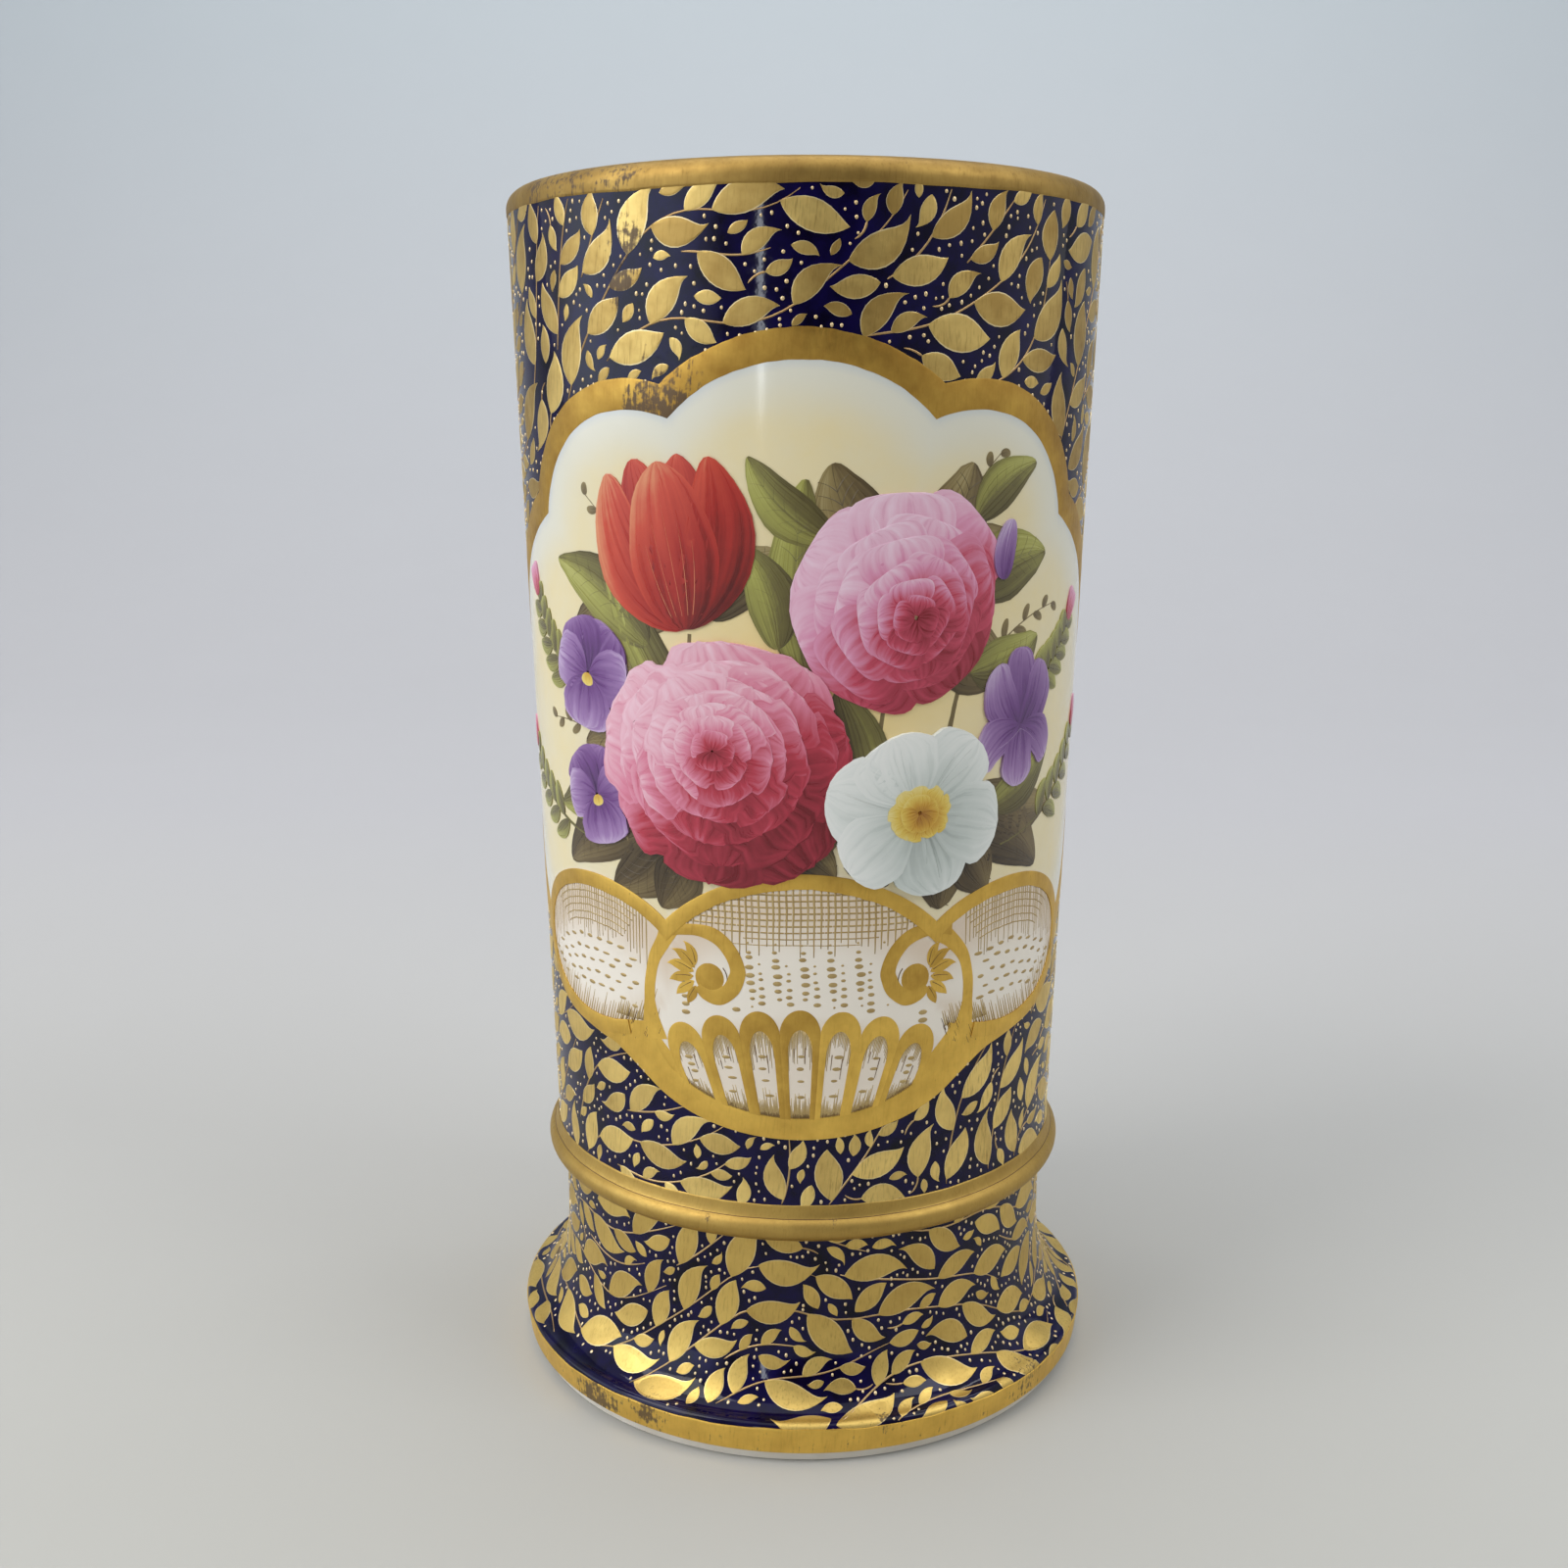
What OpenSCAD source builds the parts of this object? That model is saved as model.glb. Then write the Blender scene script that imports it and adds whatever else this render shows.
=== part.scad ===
// Spill vase: a porcelain cylinder on a spreading foot, with a blue ground, a lobed panel and gilding.
// Millimetres, +Z up, base at z = 0, the panel faces -Y.

/* [Vessel] */
// Height over the lip
vase_h = 127; // [118:1:150]
// Diameter at the lip, over the glaze
rim_d = 62; // [58:0.5:68]
// Diameter just above the bead, over the glaze
waist_d = 56.8; // [53:0.2:62]
// Thickness of the porcelain wall
wall_t = 2.6; // [1.8:0.1:4]
// Thickness of the porcelain floor
floor_t = 4; // [2.5:0.1:8]
// Radius of the fillet round the floor of the well
well_fillet = 4; // [1:0.5:8]

/* [Bead] */
// Diameter over the ridge of the bead
bead_d = 59; // [57.5:0.1:63]
// Radius of the ridge's section
bead_round = 1.3; // [0.8:0.1:2]
// Height of the ridge above the seat of the body
bead_rise = 2; // [1.4:0.1:3]
// Height of the cove that leads from the ridge up to the wall
cove_h = 4.2; // [2:0.2:8]

/* [Foot] */
// Height of the foot, up to the slip
foot_h = 21.6; // [18:0.2:28]
// Diameter of the neck, over the glaze
neck_d = 55.2; // [51:0.2:56]
// Diameter of the edge of the foot, over the glaze
foot_d = 65.6; // [60:0.2:72]
// Height of the edge of the foot
edge_h = 4.6; // [3:0.1:7]
// Height of the hollow flare above the edge
flare_h = 10.4; // [6:0.2:12]
// Radius of the rounding on top of the edge
edge_round = 0.7; // [0.3:0.1:1.5]
// Inward lean of the edge towards the base
edge_lean = 0.3; // [0:0.1:0.8]
// Height of the bare porcelain below the glaze
bare_h = 1.3; // [0.5:0.1:2]
// Inward step of the bare bevel at the base
base_bevel = 0.3; // [0.2:0.1:1.5]
// Width of the ring that the foot stands on
ring_w = 3.6; // [2.5:0.1:5]
// Thickness of the porcelain neck
neck_t = 3.6; // [2.5:0.1:5]
// Thickness of the slip between foot and body
slip_t = 0.6; // [0.3:0.1:1.2]

/* [Coats] */
// Thickness of the glazes
glaze_t = 0.35; // [0.2:0.05:0.6]
// Thickness of the gilding
gild_t = 0.16; // [0.08:0.02:0.3]
// Height of the gilt band below the lip
rim_band_h = 2.6; // [1:0.1:6]
// Gap left between two pieces of gilding
gild_gap = 0.25; // [0.1:0.05:0.6]

/* [Panel] */
// Distance from the lip down to the crown of the panel
crown_gap = 17.5; // [12:0.5:24]
// Radius of the middle lobe
mid_r = 17; // [15:0.2:19]
// Distance of a shoulder lobe's centre from the middle
shoulder_u = 17; // [15:0.2:19]
// Radius of the shoulder lobes
shoulder_r = 12.7; // [11.5:0.1:14.5]
// Depth of the shoulder lobes' centres below the crown
shoulder_drop = 17.1; // [15.5:0.1:18.5]
// Distance of a flank lobe's centre from the middle
flank_u = 18.1; // [16:0.1:21]
// Half width of the flank lobes
flank_a = 26.4; // [24:0.2:30]
// Reach of the flank lobes past the shoulder and the basket
flank_over = 5.1; // [3:0.1:6.5]
// Width of the gilt frame
frame_w = 2.8; // [1.6:0.1:4]

/* [Basket] */
// Distance from the cove up to the bottom of the bowl
bowl_gap = 4.3; // [2:0.1:9]
// Half width of the bowl
bowl_a = 20.5; // [18.5:0.1:22.5]
// Depth of the bowl
bowl_b = 11.3; // [10:0.1:13]
// Gilt thickness at the bottom of the bowl
bowl_band = 2.4; // [1.2:0.1:3.2]
// Gilt thickness at the sides of the bowl
bowl_horn = 4.4; // [3:0.1:5.2]
// Radius of the middle lobe of the rim
rim_lobe_r = 20.2; // [18:0.1:23]
// Crown of the rim above the top of the bowl
rim_crown = 16.9; // [16.2:0.1:18.5]
// Distance of a side lobe's centre from the middle
side_u = 24; // [22.5:0.1:25.5]
// Half width of the side lobes
side_a = 12.6; // [11.6:0.1:13.6]
// Half height of the side lobes
side_b = 8.6; // [7.8:0.1:9.2]
// Centres of the side lobes above the top of the bowl
side_rise = 5.8; // [5:0.1:6.6]
// Width of the gilt lines
line_w = 1.6; // [0.8:0.1:2]

/* [Gadroons] */
// Number of gadroon tongues
tongues = 7; // [3:2:7]
// Width of a tongue at its round top
tongue_w = 3.7; // [2.6:0.1:4]
// Height of the middle tongue above the gilt band
tongue_h = 11.4; // [9:0.1:12]
// Gilt thickness beside the round top of a window
tongue_line = 0.8; // [0.4:0.1:1.1]
// Gilt thickness at the foot of a tongue
tongue_hair = 0.7; // [0.3:0.05:0.9]
// Further gilt thickness over the top of a window
head_drop = 1.5; // [0.4:0.1:2.2]
// Depth of the point that the tongues fan out from, below the top of the bowl
fan_drop = 34; // [26:1:50]

/* [Scrolls] */
// Distance of a volute's eye from the middle
eye_u = 10.7; // [9.8:0.1:11.2]
// Eye of a volute below the crown of the rim
eye_drop = 11.6; // [11:0.1:12.4]
// Radius at which a volute starts
volute_r = 4.7; // [4:0.1:5.2]
// Radius of the eye
eye_r = 1.9; // [1.4:0.1:2.2]
// Turns of a volute
volute_turns = 0.65; // [0.5:0.05:0.8]
// Width of a volute at its start
volute_w = 1.3; // [0.8:0.1:1.5]
// Width of the stem beside a volute
stem_w = 1.3; // [0.8:0.1:1.5]
// Outward bow of the stem
stem_bow = 1.5; // [0.8:0.1:2]

/* [Hidden] */
$fn = 128;
arc_steps = 10;

white = "ivory";
clear = "whitesmoke";
cobalt = "midnightblue";
cream = "lemonchiffon";
gilt = "goldenrod";

// Main radii and heights
rim_r = rim_d / 2;
waist_r = waist_d / 2;
neck_r = neck_d / 2;
foot_r = foot_d / 2;
seat_z = foot_h + slip_t;
ridge_z = seat_z + bead_rise;
ridge_c = bead_d / 2 - bead_round;
cove_z = ridge_z + cove_h;
floor_z = seat_z + floor_t + glaze_t;
lip_t = wall_t + 2 * glaze_t;
lip_z = vase_h - lip_t / 2;
neck_in = neck_r - 2 * glaze_t - neck_t;
base_r = foot_r - edge_lean - glaze_t - base_bevel;
ring_in = base_r - ring_w;

// Radius of the straight wall at a height, and of the well inside it
function wall_r(z) = waist_r + (rim_r - waist_r) * (z - cove_z) / (vase_h - cove_z);
function well_r(z) = wall_r(z) - lip_t;

// Points of an ellipse with centre c and half axes a and b, from angle t0 to t1
function on_ellipse(c, a, b, t) = [c[0] + a * cos(t), c[1] + b * sin(t)];
function ellipse_arc(c, a, b, t0, t1, n) = [for (i = [0:n]) on_ellipse(c, a, b, t0 + (t1 - t0) * i / n)];

// List helpers: a stretch of a list, a list reversed, and points mirrored left to right
function part_of(list, first, last) = [for (i = [first:last]) list[i]];
function turned(list) = [for (i = [len(list) - 1:-1:0]) list[i]];
function mirrored(list) = [for (p = turned(list)) [-p[0], p[1]]];

// Normal on the right of a run from p to q
function run_normal(p, q) = [q[1] - p[1], p[0] - q[0]] / norm(q - p);

// A profile moved sideways by t to its right, with mitred corners
function moved(pts, t) = [for (i = [0:len(pts) - 1])
    let (before = run_normal(pts[max(i, 1) - 1], pts[max(i, 1)]),
         after = run_normal(pts[min(i, len(pts) - 2)], pts[min(i, len(pts) - 2) + 1]))
    pts[i] + t * (before + after) / (1 + before * after)];

// Outer profile of the foot over its glaze, from the bare base up to the slip
edge_c = [foot_r - edge_round, edge_h - edge_round];
flare_c = [foot_r - edge_round, edge_h + flare_h];
foot_line = concat(
    [[foot_r - edge_lean, bare_h]],
    ellipse_arc(edge_c, edge_round, edge_round, 0, 90, 4),
    part_of(ellipse_arc(flare_c, flare_c[0] - neck_r, flare_h, 270, 180, arc_steps), 1, arc_steps),
    [[neck_r, foot_h]]);

// Outer profile of the body from its seat over the bead and the wall to the crown of the lip
ridge_start = -acos(max(-1, (neck_r - ridge_c) / bead_round));
ridge_end = 50;
shoulder = on_ellipse([ridge_c, ridge_z], bead_round, bead_round, ridge_end);
cove_c = [shoulder[0], cove_z];
bead_line = concat(
    [[neck_r, seat_z]],
    ellipse_arc([ridge_c, ridge_z], bead_round, bead_round, ridge_start, ridge_end, arc_steps),
    part_of(ellipse_arc(cove_c, shoulder[0] - waist_r, cove_z - shoulder[1], 270, 180, arc_steps),
            1, arc_steps));
lip_c = [wall_r(lip_z) - lip_t / 2, lip_z];
lip_line = ellipse_arc(lip_c, lip_t / 2, lip_t / 2, 0, 180, 2 * arc_steps);
wall_line = [[wall_r(vase_h - rim_band_h), vase_h - rim_band_h]];

// Inner profile of the well, from the lip down to the middle of the floor
fillet_z = floor_z + well_fillet;
fillet_c = [well_r(fillet_z) - well_fillet, fillet_z];
well_line = concat(
    ellipse_arc(fillet_c, well_fillet, well_fillet, 0, -90, arc_steps),
    [[0, floor_z]]);

// The whole glazed line, and the same line at the porcelain and at the top of the gilding
glazed = concat(foot_line, bead_line, wall_line, lip_line, well_line);
biscuit = moved(glazed, -glaze_t);
gilded = moved(glazed, gild_t);
edge_end = 1;
gilt_cove_steps = 5;
foot_end = len(foot_line) - 1;
ridge_first = foot_end + 2;
gilt_cove = foot_end + 2 + arc_steps + gilt_cove_steps;
cove_end = foot_end + len(bead_line);
band_first = cove_end + 1;
lip_crown = band_first + arc_steps + 1;
lip_end = band_first + len(lip_line);
line_end = len(glazed) - 1;

// Inner profile of the hollow foot, over its glaze, from the ring up to the middle of the ceiling
hollow_c = [ring_in - glaze_t, edge_h + flare_h];
hollow_line = concat(
    ellipse_arc(hollow_c, hollow_c[0] - neck_in, hollow_c[1] - bare_h, 270, 180, arc_steps),
    [[neck_in, seat_z - glaze_t], [0, seat_z - glaze_t]]);
hollow_biscuit = moved(hollow_line, glaze_t);
hollow_neck = len(hollow_line) - 2;

// A turned solid between two profiles
module turned_between(inside, outside) {
    rotate_extrude() polygon(concat(outside, turned(inside)));
}

// Shapes on the wall: a point [u, z] lies u along the girth at panel height and z up, lifted off the glaze
shoulder_z = vase_h - crown_gap - shoulder_drop;
bowl_z = cove_z + bowl_gap + bowl_b;
crown_z = bowl_z + rim_crown;
side_z = bowl_z + side_rise;
flank_z = (shoulder_z + side_z) / 2;
flank_b = (shoulder_z - side_z) / 2 + flank_over;
girth_r = wall_r(flank_z);
function bearing(u) = u / girth_r * 180 / PI;
function on_wall(p, lift) = let (r = wall_r(p[1]) + lift, t = bearing(p[0])) [r * sin(t), -r * cos(t), p[1]];

// A strip on the wall from its right edge to its left edge along the run, between two lifts
module strip(right, left, low, high) {
    n = len(right);
    points = [for (i = [0:n - 1]) each [on_wall(right[i], low), on_wall(left[i], low),
                                        on_wall(right[i], high), on_wall(left[i], high)]];
    sides = [for (i = [0:n - 2]) let (p = 4 * i, q = p + 4) each [
        [p + 2, p + 3, q + 3], [p + 2, q + 3, q + 2], [p, q + 1, p + 1], [p, q, q + 1],
        [p + 1, q + 1, q + 3], [p + 1, q + 3, p + 3], [p, q + 2, q], [p, p + 2, q + 2]]];
    e = 4 * (n - 1);
    ends = [[0, 1, 3], [0, 3, 2], [e, e + 3, e + 1], [e, e + 2, e + 3]];
    polyhedron(points, concat(sides, ends));
}

// Lobes are ellipses [centre u, centre z, half width, half height]; grow makes one larger all round
function grow(e, w) = [e[0], e[1], e[2] + w, e[3] + w];
function at(e, t) = on_ellipse(e, e[2], e[3], t);
function arc(e, t0, t1, n) = ellipse_arc(e, e[2], e[3], t0, t1, n);
function within(e, p) = pow((p[0] - e[0]) / e[2], 2) + pow((p[1] - e[1]) / e[3], 2) < 1;

// Angle on lobe e at which it enters the lobe other, going from an angle outside it to one inside
function entry(e, other, from, to, n = 30) = n == 0 ? from :
    let (t = (from + to) / 2)
    within(other, at(e, t)) ? entry(e, other, from, t, n - 1) : entry(e, other, t, to, n - 1);
function angle_on(e, p) = atan2((p[1] - e[1]) / e[3], (p[0] - e[0]) / e[2]);

mid = [0, vase_h - crown_gap - mid_r, mid_r, mid_r];
right_shoulder = [shoulder_u, shoulder_z, shoulder_r, shoulder_r];
right_flank = [flank_u, flank_z, flank_a, flank_b];
right_side = [side_u, side_z, side_a, side_b];
rim_mid = [0, crown_z - rim_lobe_r, rim_lobe_r, rim_lobe_r];
bowl = [0, bowl_z, bowl_a, bowl_b];
bowl_inside = [0, bowl_z, bowl_a - bowl_horn, bowl_b - bowl_band];

// Right half of the lobed outline grown by w, from the crown over the shoulder down the flank to angle low
function lobed_half(w, low) =
    let (m = grow(mid, w), s = grow(right_shoulder, w), f = grow(right_flank, w),
         ts = entry(s, m, 90, 180), tf = entry(f, s, 0, 90))
    concat(arc(m, 90, angle_on(m, at(s, ts)), arc_steps),
           part_of(arc(s, ts, angle_on(s, at(f, tf)), arc_steps), 1, arc_steps),
           part_of(arc(f, tf, low, 2 * arc_steps), 1, 2 * arc_steps));

// Lowest edge of the reserve at u
function under(e, u) = abs(u - e[0]) < e[2] ? e[1] - e[3] * sqrt(1 - pow((u - e[0]) / e[2], 2)) : vase_h;
function reserve_foot(u) = min([for (e = [bowl, right_side, right_flank]) under(e, abs(u))]);

flank_tip = 3;
reserve_half = lobed_half(0, flank_tip);
reserve_top = concat(mirrored(reserve_half), part_of(reserve_half, 1, len(reserve_half) - 1));
reserve_low = [for (p = reserve_top) [p[0], reserve_foot(p[0])]];

module reserve_block() {
    strip(reserve_low, reserve_top, -2 * glaze_t, glaze_t);
}

module wall_coat() {
    turned_between(part_of(biscuit, cove_end, lip_crown), part_of(glazed, cove_end, lip_crown));
}

module gilt_band(first, last) {
    color(gilt) turned_between(part_of(glazed, first, last), part_of(gilded, first, last));
}

module body_cylinder() {
    color(white) rotate_extrude()
        polygon(concat(part_of(biscuit, foot_end + 1, line_end), [[0, seat_z]]));
}

module spreading_foot() {
    color(white) rotate_extrude()
        polygon(concat([[ring_in, 0], [base_r, 0]], part_of(biscuit, 0, foot_end),
                       [[hollow_biscuit[hollow_neck][0], foot_h]],
                       turned(part_of(hollow_biscuit, 0, hollow_neck - 1))));
}

module luting_slip() {
    color(white) translate([0, 0, foot_h]) linear_extrude(slip_t) difference() {
        circle(r = neck_r - glaze_t);
        circle(r = hollow_biscuit[hollow_neck][0]);
    }
}

module lining_glaze() {
    color(clear) turned_between(part_of(biscuit, lip_crown, line_end), part_of(glazed, lip_crown, line_end));
}

module hollow_glaze() {
    color(clear) turned_between(hollow_line, hollow_biscuit);
}

module cobalt_ground_wall() {
    color(cobalt) difference() {
        wall_coat();
        reserve_block();
    }
}

module cobalt_ground_foot() {
    color(cobalt) turned_between(part_of(biscuit, 0, cove_end), part_of(glazed, 0, cove_end));
}

module reserve_panel() {
    color(cream) intersection() {
        wall_coat();
        reserve_block();
    }
}

module rim_gilding() {
    gilt_band(band_first, lip_end);
}

module bead_gilding() {
    gilt_band(ridge_first, gilt_cove);
}

module foot_gilding() {
    gilt_band(0, edge_end);
}

// The frame ends on the flank where it meets the basket, which lies above this angle
frame_low = -60;

module panel_frame() {
    seat = grow(right_side, gild_gap);
    inner = lobed_half(0, entry(right_flank, seat, 0, frame_low));
    outer = lobed_half(frame_w, entry(grow(right_flank, frame_w), seat, 0, frame_low));
    color(gilt) strip(concat(mirrored(inner), part_of(inner, 1, len(inner) - 1)),
                      concat(mirrored(outer), part_of(outer, 1, len(outer) - 1)), 0, gild_t);
}

// An angle on a side lobe that lies within the bowl
rim_low = -150;

// Right half of the rim's outline drawn in by w, from its crown round the side lobe to the bowl
function rim_half(w) =
    let (m = grow(rim_mid, -w), s = grow(right_side, -w),
         tc = entry(s, m, 90, 180), tb = entry(s, grow(bowl, gild_gap), 0, rim_low))
    concat(arc(m, 90, angle_on(m, at(s, tc)), arc_steps),
           part_of(arc(s, tc, tb, 2 * arc_steps), 1, 2 * arc_steps));

module basket_rim() {
    inner = rim_half(line_w);
    outer = rim_half(0);
    color(gilt) strip(concat(mirrored(inner), part_of(inner, 1, len(inner) - 1)),
                      concat(mirrored(outer), part_of(outer, 1, len(outer) - 1)), 0, gild_t);
}

module basket_bowl() {
    outer = arc(bowl, 180, 360, 4 * arc_steps);
    inner = arc(bowl_inside, 180, 360, 4 * arc_steps);
    color(gilt) strip(outer, inner, 0, gild_t);
}

// Tongues stand on rays from a point below the bowl; each runs from the gilt band to a round head
fan_z = bowl_z - fan_drop;
fan_r = fan_drop - bowl_b + bowl_band + tongue_h - tongue_w / 2;
fan_half = atan(tongue_w / 2 / fan_r);
fan_step = 2 * atan((tongue_w / 2 + gild_gap) / fan_r);
function on_fan(a, r) = [r * sin(a), fan_z + r * cos(a)];

// Distance along ray a from the fan's point to just inside the gilt band of the bowl
function band_reach(a) =
    let (c = fan_z - bowl_z, p = pow(sin(a) / bowl_inside[2], 2) + pow(cos(a) / bowl_inside[3], 2),
         q = c * cos(a) / pow(bowl_inside[3], 2), s = pow(c / bowl_inside[3], 2) - 1)
    gild_gap - (q + sqrt(max(0, q * q - p * s))) / p;

// One edge of a tongue up to drop below its head, moved in by foot_in at its foot and by head_in at the top
function tongue_edge(a, side, foot_in, head_in, drop) =
    let (ray = a + side * fan_half, low = band_reach(ray), high = (fan_r - drop) / cos(fan_half))
    [for (i = [0:arc_steps]) let (f = i / arc_steps)
        on_fan(ray, low + (high - low) * f) - side * (foot_in + (head_in - foot_in) * f) * [cos(a), -sin(a)]];

function tongue_outline(a, foot_in, head_in, drop) =
    let (r = (fan_r - drop) * tan(fan_half) - head_in, head = on_fan(a, fan_r - drop))
    concat(tongue_edge(a, -1, foot_in, head_in, drop),
           [for (i = [1:arc_steps - 1]) let (t = 180 * (1 - i / arc_steps) - a) head + r * [cos(t), sin(t)]],
           turned(tongue_edge(a, 1, foot_in, head_in, drop)));

module basket_gadroons() {
    color(gilt) for (k = [0:tongues - 1]) let (a = (k - (tongues - 1) / 2) * fan_step)
        strip(tongue_outline(a, tongue_hair, tongue_line, head_drop), tongue_outline(a, 0, 0, 0), 0, gild_t);
}

// Distance from a point p inside lobe e to its edge in direction t
function reach_in(e, p, t) =
    let (o = [(p[0] - e[0]) / e[2], (p[1] - e[1]) / e[3]], d = [cos(t) / e[2], sin(t) / e[3]])
    (sqrt(pow(o * d, 2) - d * d * (o * o - 1)) - o * d) / (d * d);

// A volute winds in from near the rim, which it clears, to its eye
eye = [eye_u, crown_z - eye_drop];
volute_start = 75;
volute_first = min(volute_r, reach_in(grow(rim_mid, -line_w - gild_gap), eye, volute_start) - volute_w / 2);
volute_end = eye_r + gild_gap + volute_w / 4;
volute_steps = 4 * arc_steps;
eye_turn = [170:-20:10];
function volute_edge(side) = [for (i = [0:volute_steps])
    let (f = i / volute_steps, t = volute_start + 360 * volute_turns * f,
         r = volute_first + (volute_end - volute_first) * f + side * volute_w / 2 * (1 - f / 2))
    eye + r * [cos(t), sin(t)]];

module volute() {
    strip(volute_edge(1), volute_edge(-1), 0, gild_t);
    strip([for (t = eye_turn) eye + eye_r * [cos(t), -sin(t)]],
          [for (t = eye_turn) eye + eye_r * [cos(t), sin(t)]], 0, gild_t);
}

// A stem bows outward beside the volute, from under the cusp of the rim to the top of the bowl's horn
rim_cusp = at(grow(right_side, -line_w), entry(grow(right_side, -line_w), grow(rim_mid, -line_w), 90, 180));
stem_top = rim_cusp - [-stem_w / 2, gild_gap + stem_w];
stem_low = [bowl_a - bowl_horn / 2, bowl_z + 2 * gild_gap];
function stem_middle(f) =
    stem_top + (stem_low - stem_top) * f - run_normal(stem_top, stem_low) * 4 * stem_bow * f * (1 - f);

module stem() {
    middle = [for (i = [0:arc_steps]) stem_middle(i / arc_steps)];
    strip(moved(middle, stem_w / 2), moved(middle, -stem_w / 2), 0, gild_t);
}

module basket_scrolls() {
    color(gilt) for (side = [0, 1]) mirror([side, 0, 0]) {
        volute();
        stem();
    }
}

body_cylinder();
spreading_foot();
luting_slip();
lining_glaze();
hollow_glaze();
cobalt_ground_wall();
cobalt_ground_foot();
reserve_panel();
rim_gilding();
bead_gilding();
foot_gilding();
panel_frame();
basket_rim();
basket_bowl();
basket_gadroons();
basket_scrolls();
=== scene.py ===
"""Porcelain spill vase: its coats, gilding and painted panel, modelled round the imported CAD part.

The classes work in millimetres, and meshes are made in metres. The panel faces -Y. A flat pattern has x round
the girth, to the right as seen from outside, and y up along the vase's outer line.
"""

import logging
from collections.abc import Callable, Sequence
from dataclasses import dataclass, field, replace
from enum import Enum
from functools import cache

import bpy
import numpy as np
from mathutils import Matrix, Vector


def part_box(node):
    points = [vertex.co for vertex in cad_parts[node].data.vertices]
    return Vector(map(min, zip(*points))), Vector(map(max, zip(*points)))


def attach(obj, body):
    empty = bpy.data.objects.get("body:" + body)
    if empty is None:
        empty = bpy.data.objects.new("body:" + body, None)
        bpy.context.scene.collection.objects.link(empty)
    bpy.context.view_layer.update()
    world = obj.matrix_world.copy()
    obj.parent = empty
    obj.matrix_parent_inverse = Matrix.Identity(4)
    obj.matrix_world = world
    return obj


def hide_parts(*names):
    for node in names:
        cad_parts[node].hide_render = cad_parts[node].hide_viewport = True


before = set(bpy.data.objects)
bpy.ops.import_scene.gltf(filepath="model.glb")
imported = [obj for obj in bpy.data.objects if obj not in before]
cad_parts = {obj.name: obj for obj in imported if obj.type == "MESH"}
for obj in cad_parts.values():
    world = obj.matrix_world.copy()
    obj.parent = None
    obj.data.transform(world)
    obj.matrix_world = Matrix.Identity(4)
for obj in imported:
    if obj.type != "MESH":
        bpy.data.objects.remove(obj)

Array = np.ndarray
Spot = tuple[float, float]
Line = tuple[Spot, ...]
Colour = tuple[float, float, float]
Finish = bpy.types.Material
Node = bpy.types.Node
Socket = bpy.types.NodeSocket
MM = 0.001
LOG = logging.getLogger("spill_vase")

for leftover in ("Cube", "Light", "Camera"):
    if leftover in bpy.data.objects:
        bpy.data.objects.remove(bpy.data.objects[leftover])
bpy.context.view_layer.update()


class Slot(Enum):
    """Material slots of the record."""

    PORCELAIN = "porcelain"
    CLEAR_GLAZE = "clear_glaze"
    COBALT_GLAZE = "cobalt_glaze"
    CREAM_ENAMEL = "cream_enamel"
    GILDING = "gilding"


class Side(Enum):
    """Left or right of the panel, as the factor that mirrors a place."""

    LEFT = -1
    RIGHT = 1

    @property
    def flip(self) -> Array:
        """Factors that carry a place on the right to this side."""
        return np.array([self.value, 1])


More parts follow.
